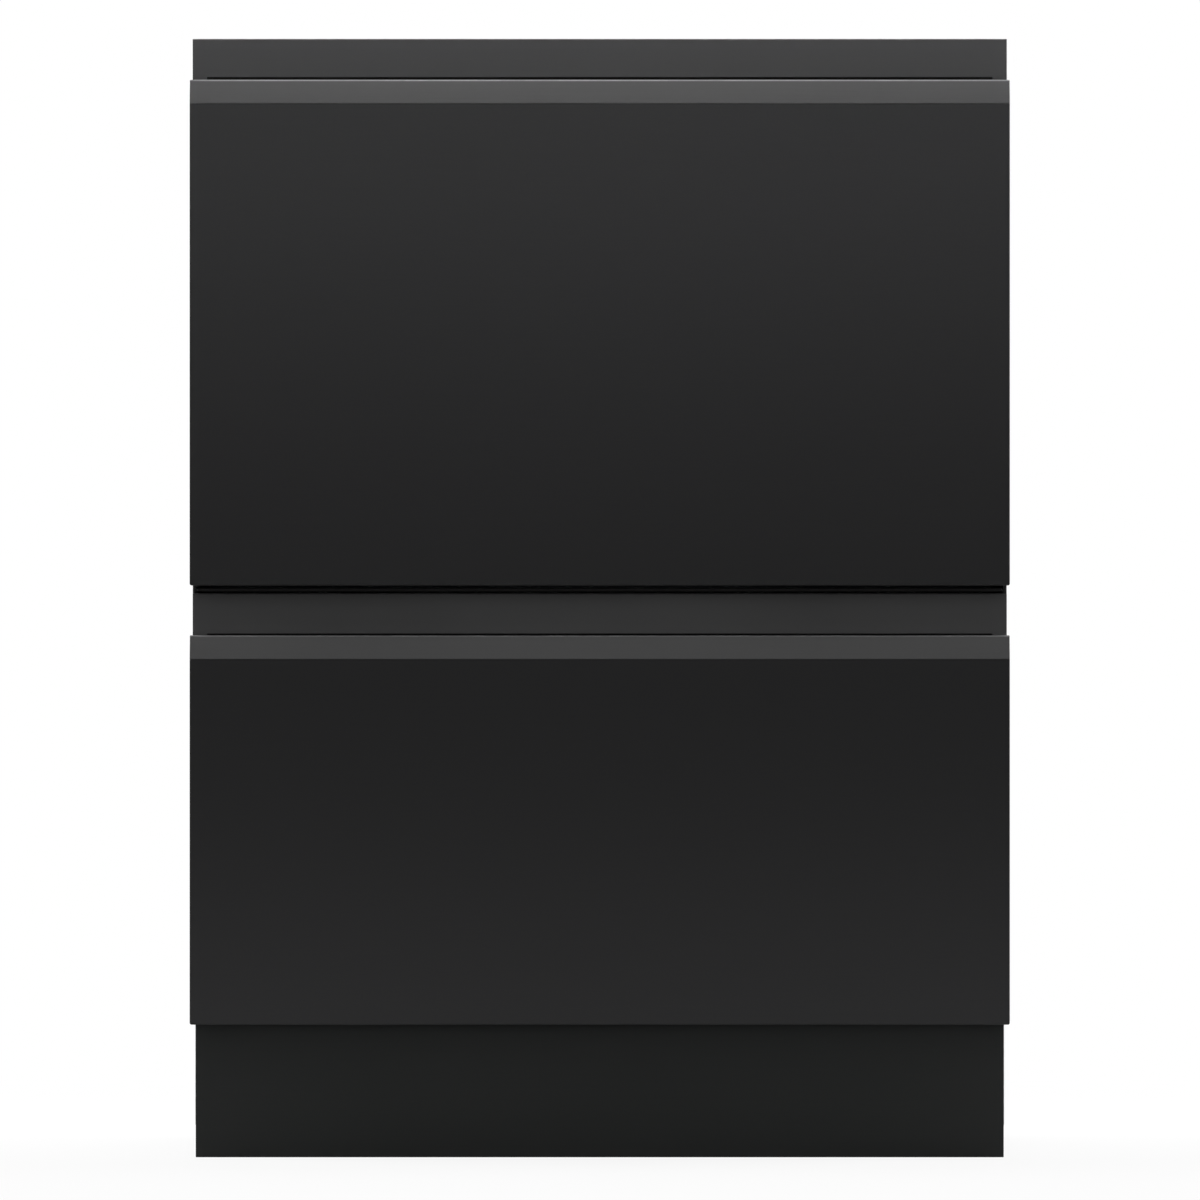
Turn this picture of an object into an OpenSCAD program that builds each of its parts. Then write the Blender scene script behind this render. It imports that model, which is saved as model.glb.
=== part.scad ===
// Double dishwasher drawer: two tubs on runners in one cabinet, with handle-free black fronts.
// +Z is up, the fronts face -Y, and the origin is on the floor under the middle of the cabinet.
// Inside a drawer, depths are measured down from the top of its own module ("depth" values).

/* [Cabinet] */
// Width over the front panels
body_w = 599; // [560:1:640]
// Depth from the front face to the ends of the rear fittings
body_d = 573; // [560:1:600]
// Height on the feet, screwed right in
body_h = 820; // [810:1:840]
// How far the shell and the recess strips stand back from the sides of the fronts
side_reveal = 1.5; // [1:0.1:3]
// Thickness of the cabinet's sheet steel
sheet = 1.2; // [0.8:0.1:2]
// Space behind the rear panel for the water, waste and power fittings
rear_space = 18; // [14:1:24]
// Distance from the top of one module to the top of the next
module_pitch = 406; // [400:1:420]
// Gap between the shell's front edge and the drawer fronts
front_clear = 3; // [2:0.5:6]

/* [Plinth] */
// Height of the lower front's bottom edge above the floor
plinth_h = 99; // [92:1:104]
// Distance of the kickboard behind the front face
kick_setback = 60; // [50:1:64]
// How far the kickboard stands back from the sides of the fronts
kick_reveal = 3; // [2:0.5:8]
// Height of the base pan's floor above the room's floor
base_h = 24; // [20:1:30]
// Height of the lap between the base pan and the shell
base_lap = 15; // [8:1:20]

/* [Drawer fronts] */
// Height of the recess strip that shows above the grip lip
strip_h = 30.6; // [26:0.2:36]
// Height of the grip lip's bevel
lip_h = 17.5; // [14:0.5:22]
// How far the top of the grip lip leans back
lip_lean = 7.5; // [5:0.5:9]
// Thickness of the grip lip's top edge
lip_edge = 2.5; // [1.6:0.1:3]
// Wall of the hollow grip lip
lip_wall = 1.4; // [1:0.1:1.8]
// Gap between the two drawers
front_gap = 5.8; // [4:0.2:8]
// Depth of the fronts' folded sides
panel_depth = 30; // [28:1:34]
// Thickness of the fronts' sheet
panel_sheet = 1.2; // [0.8:0.1:1.6]
// Radius of the fronts' lower corners
panel_corner = 1.5; // [0.5:0.1:3]
// Width of the finger pocket, front to back
pocket_w = 20; // [17:0.5:22]
// Depth of the finger pocket below the top of the grip lip
pocket_depth = 36; // [30:1:44]
// Radius of the cove at the bottom of the finger pocket
pocket_cove = 7; // [3:0.5:8]
// Thickness of the recess strip
strip_t = 2; // [1.5:0.1:2.4]

/* [Controls] */
// Depth of the upward-facing control panel, front to back
control_d = 41; // [36:1:44]
// Gap between the control panel's ends and the sides of the shell
control_side = 5; // [4:0.5:20]
// Wall of the control panel
control_wall = 2.5; // [2:0.1:3]
// How far the control panel lies below the strip's top edge
control_drop = 1.5; // [1:0.1:3]
// Radius of a button
button_r = 7; // [5:0.5:9]
// Travel of a button
button_travel = 0.8; // [0.5:0.1:1]
// Height of a button above the control panel
button_proud = 0.5; // [0.3:0.1:1]
// Gap round a button
button_clear = 0.3; // [0.2:0.05:0.5]
// Distance between buttons
button_pitch = 32; // [24:1:40]
// Distance of the first button from the middle
button_start = 130; // [100:1:160]
// Width of the display window
display_w = 74; // [50:1:100]

/* [Tub] */
// Space for the runners between the shell and each side of the tub
runner_space = 16.8; // [16:0.1:19]
// Space behind the tub for its hoses and the lid's lift
hose_space = 55; // [52:1:70]
// Wall of the tub
tub_wall = 3; // [2.5:0.1:4]
// Radius of the tub's upright corners
tub_corner = 34; // [24:1:44]
// Width of the tub's rim outside the wall
rim_w = 8; // [6:0.5:9]
// Depth of the rim below the top of the module
rim_depth = 52; // [50:0.5:56]
// Depth of the upper tub's floor
upper_floor = 322; // [310:1:324]
// Depth of the lower tub's floor
lower_floor = 246; // [236:1:248]
// Width of the tub's floor between its round sump and its front and rear walls
floor_margin = 58; // [50:1:78]
// Depth of the sump below the tub's floor
sump_depth = 18; // [14:1:22]
// Height of the wash motor under the sump
motor_h = 40; // [32:1:42]
// Radius of the wash motor
motor_r = 92; // [70:1:110]

/* [Washing] */
// Thickness of the filter plate
filter_t = 3; // [2:0.5:5]
// Gap between the spray arm's tips and the tub's walls
arm_gap = 17; // [13:1:50]
// Thickness of the spray arm
arm_t = 11; // [8:1:14]
// Height of the spray arm's underside above the tub's floor
arm_lift = 14; // [10:1:18]
// Radius of the spindle that carries the spray arm
spindle_r = 8; // [5:0.5:10]
// Running clearance of the spray arm on its spindle
spindle_clear = 0.08; // [0.03:0.01:0.1]
// Height of the posts that carry the rack
post_h = 44; // [42:1:50]

/* [Racks] */
// Diameter of the coated wire
wire_d = 3.4; // [2.6:0.1:4]
// Diameter of the rack's rim wire
rim_wire_d = 4.6; // [3.4:0.1:5.4]
// Gap between the tub's sides and the middles of a rack's side wires
rack_side = 19; // [17:0.5:30]
// Gap between the tub's front and rear and the middles of a rack's end wires
rack_end = 13; // [11:0.5:25]
// Depth of a rack's rim below the top of the module
rack_rim = 130; // [126:1:136]
// Number of wires that run front to back
long_wires = 13; // [9:2:17]
// Number of wires that run across
cross_wires = 10; // [8:2:14]
// Bend radius of the wires
bend_r = 12; // [6:1:16]
// Height of the tines
tine_h = 60; // [45:1:62]
// Distance between tines
tine_pitch = 26; // [20:1:32]
// Number of tines in a row
tine_count = 11; // [7:2:13]
// Width of a cup rack
cup_w = 86; // [70:1:88]
// Length of a cup rack
cup_len = 300; // [240:1:320]
// Depth of the cup racks' hinge below the top of the module
cup_depth = 145; // [140:1:150]
// Clearance of a wire in its hinge clips
clip_clear = 0.15; // [0.1:0.05:0.3]

/* [Cutlery basket] */
// Length of the basket
basket_l = 210; // [160:5:240]
// Width of the basket
basket_w = 74; // [60:1:80]
// Height of the basket
basket_h = 112; // [90:1:116]
// Wall of the basket
basket_wall = 2; // [1.6:0.1:3]
// Number of cells in the basket
basket_cells = 4; // [2:1:6]

/* [Dispenser] */
// Width of the detergent dispenser
dispenser_w = 104; // [90:1:120]
// Height of the detergent dispenser
dispenser_h = 60; // [52:1:60]
// Depth of the detergent cup
cup_cut = 24; // [16:1:26]
// Thickness of the dispenser's door
door_t = 3; // [2:0.5:4]

/* [Runners] */
// Travel of a drawer
travel = 480; // [460:1:486]
// Height of the runners' cabinet member
rail_h = 45; // [40:1:50]
// Space between the runners' cabinet member and the rear face of the cabinet
rail_end = 37; // [30:1:60]
// Depth of the runners' middle below the top of the module
rail_depth = 185; // [170:1:200]
// Thickness of the runners' sheet
rail_t = 1.2; // [1:0.1:1.6]

/* [Lids] */
// Gap between a lowered lid's seal and the tub's rim
seal_gap = 0.3; // [0.2:0.1:0.5]
// Height of the seal under the lid
seal_h = 4; // [3:0.5:5]
// Width of the seal
seal_w = 7; // [5:0.5:8]
// Height of the lid without its seal
lid_h = 33; // [28:1:34]
// Wall of the lid
lid_wall = 3; // [2:0.5:4]
// How far a lid lifts off its rim
lid_lift = 7.7; // [5:0.1:8]
// Radius of the lid's hanger pins
hanger_r = 4; // [3:0.5:5]
// Clearance of a hanger pin in its slot
hanger_clear = 0.3; // [0.2:0.1:0.5]

/* [Feet] */
// Radius of a foot's pad
foot_r = 20; // [16:1:24]
// Radius of a foot's screw
screw_r = 6; // [5:0.5:7]
// Running clearance of a foot's screw in its nut
screw_clear = 0.08; // [0.03:0.01:0.1]
// How far a foot screws out
foot_travel = 60; // [40:1:60]
// Height of the threaded nut on the base pan
nut_h = 20; // [14:1:24]

/* [Services] */
// Radius of the water inlet's 3/4 inch thread
inlet_r = 13.2; // [12:0.1:14]
// Radius of the waste hose spigot
spigot_r = 9.5; // [8:0.5:11]
// Bore of the waste hose spigot
spigot_bore = 7; // [5:0.5:8]
// Radius of the power lead's entry
lead_r = 4.5; // [3.5:0.5:6]
// Height of the fittings above the floor
service_h = 60; // [50:1:70]
// Radius of the holes that fix the cabinet under a benchtop
fixing_r = 2.5; // [2:0.25:3]
// Distance between the two bench fixing holes
fixing_span = 500; // [440:10:540]

/* [Hidden] */
$fn = 48;

// Colours, as the photo shows them, or as such a product has them where it doesn't
front_black = "#2b2b2b";
grip_black = "#4f4f4f";
strip_black = "#404040";
kick_black = "#262827";
steel = "#b9bcbe";
tub_grey = "#c9ccce";
wire_grey = "#8d9296";
moulded_grey = "#6c7074";
moulded_white = "#e9ebec";
moulded_black = "#1c1d1f";
rubber_black = "#232323";

// Main planes
top_step = 2;
front_y = -body_d / 2;
rear_y = body_d / 2 - rear_space;
strip_y = front_y + panel_depth;
strip_back = strip_y + strip_t;
shell_front = strip_back + front_clear;
shell_w = body_w - 2 * side_reveal;
shell_half = shell_w / 2;
inner_half = shell_half - sheet;
kick_w = body_w - 2 * kick_reveal;
control_w = shell_w - 2 * control_side;
shell_top = body_h - top_step - sheet;
control_back = strip_back + control_d;
control_deck = 14;
tub_front = control_back + 11;
tub_rear = rear_y - hose_space;
tub_mid = (tub_front + tub_rear) / 2;
tub_w = 2 * (inner_half - runner_space);
tub_d = tub_rear - tub_front;
sump_r = tub_d / 2 - floor_margin;
arm_r = tub_d / 2 - tub_wall - arm_gap;
rack_w = tub_w - 2 * tub_wall - 2 * rack_side;
rack_d = tub_d - 2 * tub_wall - 2 * rack_end;
lip_bottom = strip_h + lip_h;
lip_back = front_y + lip_lean + lip_edge;
pocket_bottom = strip_h + pocket_depth;

// Sizes that depend on the drawer: k is 0 for the upper one and 1 for the lower one
function top_z(k) = body_h - k * module_pitch;
function floor_depth(k) = k == 0 ? upper_floor : lower_floor;
function front_depth(k) = k == 0 ? module_pitch - front_gap : body_h - module_pitch - plinth_h;
function sump_under(k) = floor_depth(k) + sump_depth + tub_wall;
function rack_base(k) = floor_depth(k) - post_h;

// ---------------------------------------------------------------- shared shapes

// A rectangle with round corners, centred
module round_rect(w, d, r) {
  square([w - 2 * r, d], center = true);
  square([w, d - 2 * r], center = true);
  for (x = [-1, 1], y = [-1, 1]) {
    translate([x * (w / 2 - r), y * (d / 2 - r)]) circle(r);
  }
}

// An upright block between two depths below the module's top
module slab(from, to) {
  translate([0, 0, -to]) linear_extrude(to - from) children();
}

// A box given by its lowest and highest corners
module block(low, high) {
  translate(low) cube(high - low);
}

// A profile drawn in the Y-Z plane, extruded along X and centred
module along_x(length) {
  rotate([90, 0, 90]) linear_extrude(length, center = true) children();
}

// Both sides of the drawer
module both_sides() {
  for (s = [0, 1]) mirror([s, 0, 0]) children();
}

// The racks' many wires have twelve sides, and a wire that something turns on is round
wire_sides = 12;
round_wire = 16;

// A wire along Z, Y or X that starts at a point
module wire_z(p, length, d = wire_d, sides = wire_sides) {
  translate(p) cylinder(d = d, h = length, $fn = sides);
}

module wire_x(p, length, d = wire_d, sides = wire_sides) {
  translate(p) rotate([0, 90, 0]) cylinder(d = d, h = length, $fn = sides);
}

module wire_y(p, length, d = wire_d, sides = wire_sides) {
  translate(p) rotate([-90, 0, 0]) cylinder(d = d, h = length, $fn = sides);
}

// An upright tine, turned so that it ends well inside the wire below it
module tine(p, length) {
  translate(p) rotate(180 / wire_sides) cylinder(d = wire_d, h = length, $fn = wire_sides);
}

// A quarter bend of wire in the X-Y plane, round the origin
module bend(r, d = wire_d) {
  rotate_extrude(angle = 90, $fn = 16) translate([r, 0]) circle(d = d, $fn = wire_sides);
}

// A wire bent into a U in the X-Z plane: its bottom lies on Z = 0 and its arms rise
module u_wire(w, h, r) {
  wire_x([-w / 2 + r, 0, 0], w - 2 * r);
  for (s = [0, 1]) mirror([s, 0, 0]) {
    wire_z([w / 2, 0, r], h - r);
    translate([w / 2 - r, 0, r]) rotate([90, 0, 0]) rotate([0, 0, -90]) bend(r);
  }
}

// A flat loop of wire with round corners, centred
module wire_loop(w, d, r, wire) {
  for (y = [-1, 1]) wire_x([-w / 2 + r, y * d / 2, 0], w - 2 * r, wire);
  for (x = [-1, 1]) wire_y([x * w / 2, -d / 2 + r, 0], d - 2 * r, wire);
  for (q = [0:3]) {
    mx = (q == 0 || q == 3) ? 1 : -1;
    my = q < 2 ? 1 : -1;
    translate([mx * (w / 2 - r), my * (d / 2 - r), 0]) rotate([0, 0, 90 * q]) bend(r, wire);
  }
}

// ---------------------------------------------------------------- cabinet

flange_w = 15;

// One side of the shell: sheet steel, hemmed at the front, flanged behind and pressed with ribs
module side_panel() {
  low = plinth_h;
  high = shell_top;
  rib_from = shell_front + 60;
  rib_to = rear_y - 60;
  difference() {
    union() {
      block([inner_half, shell_front, low], [shell_half, rear_y - sheet, high]);
      block([inner_half - sheet, shell_front, low + base_lap + 1], [inner_half, shell_front + 11, high]);
      block([shell_half - flange_w, rear_y - 2 * sheet, low + base_lap + 1], [shell_half, rear_y - sheet, high]);
    }
    // Long pressed grooves, half the sheet deep
    for (z = [low + 60:75:high - 50]) {
      translate([shell_half, 0, z]) block([-sheet / 2, rib_from, -4], [1, rib_to, 4]);
    }
    // Holes that the runners' screws pass through
    for (k = [0, 1], y = [shell_front + 40, rear_y - 100]) {
      translate([inner_half - 2, y, top_z(k) - rail_depth]) rotate([0, 90, 0]) cylinder(r = 2.2, h = 5, $fn = 24);
    }
  }
}

module left_side_panel() {
  color(steel) mirror([1, 0, 0]) side_panel();
}

module right_side_panel() {
  color(steel) side_panel();
}

// The back of the shell, with two pressed fields that stiffen it
rear_field = 5;
field_margin = 78;
field_w = shell_w - 2 * field_margin;
function field_h(k) = 230 - 60 * k;
module rear_panel() {
  low = plinth_h;
  high = shell_top;
  color(steel) {
    block([-shell_half, rear_y - sheet, low], [shell_half, rear_y, high]);
    for (k = [0, 1]) {
      translate([0, rear_y, (top_z(k) + max(low, top_z(k) - module_pitch)) / 2 - 12]) {
        difference() {
          rotate([-90, 0, 0]) linear_extrude(rear_field) round_rect(field_w, field_h(k), 18);
          translate([0, -1, 0]) rotate([-90, 0, 0]) linear_extrude(rear_field - sheet + 1)
            round_rect(field_w - 2 * sheet, field_h(k) - 2 * sheet, 18 - sheet);
        }
      }
    }
  }
}

base_rib_half = inner_half - 86.8;
base_ribs = [for (i = [0:4]) rear_y - 68.5 - 80 * i];
foot_x = inner_half - 34;
foot_ys = [front_y + kick_setback + 40, rear_y - 36];
base_front = front_y + kick_setback + sheet;

// The base: a folded tray that catches leaks, with a nut for each foot
module base_pan() {
  wall_top = plinth_h + base_lap;
  color(steel) {
    difference() {
      union() {
        block([-inner_half, base_front, base_h], [inner_half, rear_y - sheet, base_h + sheet]);
        block([-inner_half, base_front, base_h], [inner_half, base_front + sheet, plinth_h - 6]);
        block([-inner_half, rear_y - 2 * sheet, base_h], [inner_half, rear_y - sheet, plinth_h]);
        for (x = [-1, 1]) {
          translate([x * (inner_half - sheet / 2), 0, 0])
            block([-sheet / 2, base_front, base_h], [sheet / 2, rear_y - sheet, plinth_h]);
          translate([x * (inner_half - sheet / 2), 0, 0])
            block([-sheet / 2, shell_front + 12, plinth_h - 0.01], [sheet / 2, rear_y - 3 * sheet, wall_top]);
        }
        // Pressed ribs across the tray
        for (y = base_ribs) {
          translate([0, y, base_h + sheet]) rotate([0, 90, 0])
            cylinder(r = 4, h = 2 * base_rib_half, center = true, $fn = 24);
        }
        for (x = [-1, 1], y = foot_ys) {
          translate([x * foot_x, y, base_h]) cylinder(r = screw_r + 5, h = nut_h);
        }
      }
      for (x = [-1, 1], y = foot_ys) {
        translate([x * foot_x, y, base_h - 1]) cylinder(r = screw_r + screw_clear, h = nut_h + 2);
      }
      for (y = base_ribs) {
        translate([0, y, base_h - 8]) block([-base_rib_half - 10, -8, 0], [base_rib_half + 10, 8, 8]);
      }
      service_hole(water_x, inlet_r + 1);
      service_hole(waste_x, spigot_r + 1);
      service_hole(power_x, lead_r + 3.5);
    }
  }
}

water_x = -190;
waste_x = 190;
power_x = 110;

module service_hole(x, r) {
  translate([x, service_y - 4, service_h]) rotate([-90, 0, 0]) cylinder(r = r, h = 8);
}

// A leveling foot: pad, hexagon and screw
module foot(x, y) {
  color(moulded_black) translate([x, y, 0]) {
    cylinder(r1 = foot_r, r2 = foot_r - 3, h = 6);
    cylinder(r = foot_r - 6, h = 10);
    translate([0, 0, 9]) cylinder(r = 11, h = 8, $fn = 6);
    translate([0, 0, 10]) cylinder(r = screw_r, h = base_h + sheet + nut_h + foot_travel - 16);
  }
}

module foot_front_left() {
  foot(-foot_x, foot_ys[0]);
}

module foot_front_right() {
  foot(foot_x, foot_ys[0]);
}

module foot_rear_left() {
  foot(-foot_x, foot_ys[1]);
}

module foot_rear_right() {
  foot(foot_x, foot_ys[1]);
}

// The cover over the upper lid, with tabs and holes that fix it under a benchtop
top_tab_y = 12;
top_ribs = [for (i = [0:4]) rear_y - 108.5 - 70 * i];
module top_panel() {
  top = body_h - top_step;
  front = control_back + 3;
  color(steel) difference() {
    union() {
      block([-shell_half, front, top - sheet], [shell_half, rear_y, top]);
      for (s = [-1, 1]) {
        translate([s * (inner_half - sheet / 2), 0, 0])
          block([-sheet / 2, front + 2, top - 6], [sheet / 2, rear_y - 3 * sheet, top]);
      }
      for (y = top_ribs) {
        translate([0, y, top - sheet]) rotate([0, 90, 0]) cylinder(r = 2.5, h = field_w, center = true, $fn = 24);
      }
    }
    for (y = top_ribs) {
      translate([0, y, top]) block([-field_w / 2 - 10, -6, 0], [field_w / 2 + 10, 6, 6]);
    }
    for (x = [-1, 1]) {
      translate([x * fixing_span / 2, front + top_tab_y, top - 5]) cylinder(r = fixing_r, h = 10);
    }
  }
}

// The shelf between the two drawers, which keeps drips off the lower lid
module mid_panel() {
  z = top_z(1) + 2;
  color(steel) {
    block([-inner_half, shell_front + 12, z], [inner_half, rear_y - 3 * sheet, z + sheet]);
    block([-inner_half + 2, shell_front + 1, z], [inner_half - 2, shell_front + 12, z + sheet]);
    // Drip edge and side flanges
    block([-inner_half, rear_y - 3 * sheet - 1.2, z], [inner_half, rear_y - 3 * sheet, z + 9]);
    for (s = [-1, 1]) {
      translate([s * (inner_half - sheet / 2), 0, 0])
        block([-sheet / 2, control_back + 8, z - 9], [sheet / 2, rear_y - 3 * sheet, z + sheet]);
    }
  }
}

// The kickboard: a folded black board in front of the base pan
module kickboard() {
  y = front_y + kick_setback;
  top = plinth_h - 0.5;
  fold = 14;
  fold_half = inner_half - sheet - 1;
  color(kick_black) {
    block([-kick_w / 2, y, 0.5], [kick_w / 2, y + sheet, top]);
    // Folds along the top, over the base pan's front wall, and along the bottom
    block([-fold_half, y, top - sheet], [fold_half, y + fold, top]);
    block([-fold_half, y, 0.5], [fold_half, y + fold, 0.5 + sheet]);
  }
}

// ---------------------------------------------------------------- services

service_y = rear_y - sheet;
fitting_l = rear_space + sheet;

module water_valve() {
  color(moulded_white) translate([water_x, service_y, service_h]) rotate([-90, 0, 0]) {
    // The threaded inlet outside and the valve body inside the base pan's rear wall
    difference() {
      union() {
        cylinder(r = inlet_r, h = fitting_l);
        translate([0, 0, -30]) cylinder(r = 12, h = 31);
        cylinder(r = inlet_r + 4, h = 3, $fn = 6);
      }
      translate([0, 0, 3]) cylinder(r = 8.5, h = fitting_l);
    }
    translate([-14, -14, -40]) cube([28, 28, 40 - sheet]);
    translate([0, -14, -22]) rotate([90, 0, 0]) cylinder(r = 11, h = 16);
  }
}

module waste_outlet() {
  color(moulded_grey) translate([waste_x, service_y, service_h]) rotate([-90, 0, 0]) {
    difference() {
      union() {
        // Spigot with a tapered end, and the collar against the wall
        cylinder(r = spigot_r, h = fitting_l - 2);
        translate([0, 0, fitting_l - 2]) cylinder(r1 = spigot_r, r2 = spigot_r - 1, h = 1);
        cylinder(r = 17, h = 3);
        translate([0, 0, -26]) cylinder(r = spigot_r, h = 27);
        translate([0, 0, -26]) cylinder(r = 15, h = 26 - sheet);
      }
      translate([0, 0, -20]) cylinder(r = spigot_bore, h = 60);
    }
    difference() {
      translate([-40, -8, -24]) cube([80, 16, 16]);
      translate([0, 0, -25]) cylinder(r = spigot_bore, h = 20);
    }
  }
}

module power_inlet() {
  color(moulded_black) translate([power_x, service_y, service_h]) rotate([-90, 0, 0]) {
    difference() {
      union() {
        cylinder(r = lead_r + 3, h = 12);
        cylinder(r = lead_r + 7, h = 2.4);
        translate([0, 0, -10]) cylinder(r = lead_r + 3, h = 11);
        translate([0, 0, -10]) cylinder(r = lead_r + 7, h = 10 - sheet);
      }
      translate([0, 0, -11]) cylinder(r = lead_r, h = 30);
    }
  }
}

// ---------------------------------------------------------------- runners

rail_front = shell_front + 13;
rail_l = rear_y - rail_end - rail_front;
mid_rail_l = rail_l - 10;
drawer_rail_l = rail_l - 20;
mid_rail_x = inner_half - 4.1 - rail_t;
mid_rail_h = rail_h - 2 * rail_t - 8.6;
drawer_rail_h = mid_rail_h - 2 * rail_t - 9;
drawer_rail_web = tub_w / 2 + 1;
// The lips of two members that run in each other stop short of the other's web
mid_lip = mid_rail_x - drawer_rail_web - rail_t - 0.8;
drawer_lip = mid_rail_x - rail_t - drawer_rail_web - 1.3;

// A runner member: a C-shaped channel whose web is at x and whose lips reach in to x - w
module channel(x, w, h, length) {
  translate([x, 0, 0]) {
    block([-rail_t, rail_front, -h / 2], [0, rail_front + length, h / 2]);
    block([-w, rail_front, h / 2 - rail_t], [0, rail_front + length, h / 2]);
    block([-w, rail_front, -h / 2], [0, rail_front + length, -h / 2 + rail_t]);
  }
}

module cabinet_rails() {
  color(steel) for (k = [0, 1]) translate([0, 0, top_z(k) - rail_depth]) both_sides() {
    channel(inner_half, 11, rail_h, rail_l);
    // Stop at the rear end
    translate([inner_half, rail_front + rail_l - 4, 0]) block([-11, 0, -6], [0, 3, 6]);
  }
}

// The middle members run at half the drawer's speed, on ball cages above and below their web
module mid_rails(k) {
  cage = (rail_h - 2 * rail_t - mid_rail_h) / 2 - 0.3;
  inner_cage = (mid_rail_h - 2 * rail_t - drawer_rail_h) / 2 - 0.3;
  color(steel) translate([0, 0, top_z(k) - rail_depth]) both_sides() {
    channel(mid_rail_x, mid_lip, mid_rail_h, mid_rail_l);
    for (s = [-1, 1]) {
      translate([mid_rail_x - 7, rail_front + mid_rail_l - 130, s * mid_rail_h / 2]) scale([1, 1, s])
        block([0, 0, -rail_t], [4, 120, cage]);
      translate([mid_rail_x - 7, rail_front + 10, s * (mid_rail_h / 2 - rail_t)]) scale([1, 1, -s])
        block([0, 0, -rail_t], [4, 120, inner_cage]);
    }
  }
}

// The drawer's own members, on spacers against the tub's sides
module drawer_rails(k) {
  color(steel) translate([0, 0, top_z(k) - rail_depth]) both_sides() {
    translate([drawer_rail_web, 0, 0]) {
      block([0, rail_front, -drawer_rail_h / 2], [rail_t, rail_front + drawer_rail_l, drawer_rail_h / 2]);
      for (s = [0, 1]) mirror([0, 0, s]) {
        block([0, rail_front, drawer_rail_h / 2 - rail_t], [drawer_lip, rail_front + drawer_rail_l, drawer_rail_h / 2]);
      }
      for (y = [tub_front + 40, tub_mid, tub_rear - 60]) {
        block([tub_w / 2 - drawer_rail_web, y, -9], [0, y + 22, 9]);
      }
      // The front arm that reaches forward to the front carrier's back plate
      block([-5, strip_y + carrier_t, -10], [0, rail_front + 1, 10]);
      block([-5, rail_front, -10], [0, tub_front + 8, 10]);
    }
  }
}

// ---------------------------------------------------------------- drawer fronts

// The folded front: face, sides, bottom and the ledge that carries the grip lip
module front_panel(k) {
  bottom = front_depth(k);
  color(front_black) translate([0, 0, top_z(k)]) difference() {
    union() {
      // Face with two small round corners at the bottom
      translate([0, front_y + panel_sheet, 0]) rotate([90, 0, 0]) linear_extrude(panel_sheet)
        face_outline(bottom);
      difference() {
        translate([0, strip_y, 0]) rotate([90, 0, 0]) linear_extrude(panel_depth) face_outline(bottom);
        translate([0, strip_y + 1, 0]) rotate([90, 0, 0]) linear_extrude(panel_depth + 1 - panel_sheet)
          translate([0, -(lip_bottom + bottom) / 2 - panel_sheet / 2 + 5])
            square([body_w - 2 * panel_sheet, bottom - lip_bottom - panel_sheet + 10], center = true);
      }
      // Ledge under the grip lip
      block([-body_w / 2, front_y, -lip_bottom - panel_sheet], [body_w / 2, lip_back - 2, -lip_bottom]);
      // Cheeks that close the ends of the finger pocket
      both_sides() block([body_w / 2 - panel_sheet, lip_back + 0.3, -pocket_bottom], [body_w / 2, strip_y, -strip_h - 1]);
    }
  }
}

module face_outline(bottom) {
  half = body_w / 2;
  translate([-half, -bottom + panel_corner]) square([body_w, bottom - lip_bottom - panel_corner]);
  translate([-half + panel_corner, -bottom]) square([body_w - 2 * panel_corner, bottom - lip_bottom]);
  for (x = [-1, 1]) translate([x * (half - panel_corner), -bottom + panel_corner]) circle(panel_corner);
}

// The bevelled grip lip: a hollow extrusion with a rounded top edge and closed ends
module grip_lip(k) {
  color(grip_black) translate([0, 0, top_z(k)]) difference() {
    along_x(body_w) lip_profile();
    along_x(body_w - 2 * lip_end) lip_hollow();
  }
}

lip_end = 4;
lip_foot = 0.6;

// Section of the lip in the Y-Z plane
module lip_profile() {
  edge_r = lip_edge / 2;
  difference() {
    polygon([
      [front_y, -lip_bottom],
      [front_y, -lip_bottom + lip_foot],
      [front_y + lip_lean, -strip_h - edge_r],
      [front_y + lip_lean, -strip_h],
      [lip_back, -strip_h],
      [lip_back, -lip_bottom]
    ]);
    difference() {
      translate([lip_back - lip_edge - 1, -strip_h - edge_r]) square([lip_edge + 2, lip_edge]);
      translate([lip_back - edge_r, -strip_h - edge_r]) circle(edge_r);
    }
  }
}

// The hollow between the bevel and the back, open at the bottom
module lip_hollow() {
  inner_top = -strip_h - lip_edge - 0.8;
  polygon([
    [front_y + lip_wall + lip_foot, -lip_bottom - 1],
    [front_y + lip_lean + 0.4, inner_top],
    [lip_back - lip_wall, inner_top],
    [lip_back - lip_wall, -lip_bottom - 1]
  ]);
}

// The recess strip: one folded sheet that forms the pocket's front wall, cove, back wall and top hem
module recess_strip(k) {
  inner_front = lip_back;
  inner_back = strip_y;
  wall = strip_t * 0.75;
  color(strip_black) translate([0, 0, top_z(k)]) along_x(shell_w) difference() {
    union() {
      // Front wall, up to the underside of the ledge's back edge
      translate([inner_front - wall, -pocket_bottom - wall])
        square([wall, pocket_bottom + wall - lip_bottom - 1]);
      translate([inner_front - wall, -pocket_bottom - wall])
        square([inner_back - inner_front + wall + strip_t, pocket_cove + wall]);
      // Back wall and the rounded hem on top of it
      translate([inner_back, -pocket_bottom - wall]) square([strip_t, pocket_bottom + wall - 1]);
      translate([inner_back + 1, -1]) circle(1);
      translate([inner_back + 1, -control_drop]) square([strip_t + 1, control_drop]);
    }
    // The pocket with coved lower corners
    translate([inner_front, -pocket_bottom + pocket_cove])
      square([inner_back - inner_front, pocket_bottom]);
    translate([inner_front + pocket_cove, -pocket_bottom])
      square([inner_back - inner_front - 2 * pocket_cove, pocket_cove + 1]);
    for (y = [inner_front + pocket_cove, inner_back - pocket_cove]) {
      translate([y, -pocket_bottom + pocket_cove]) circle(pocket_cove);
    }
  }
}

// ---------------------------------------------------------------- controls

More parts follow.
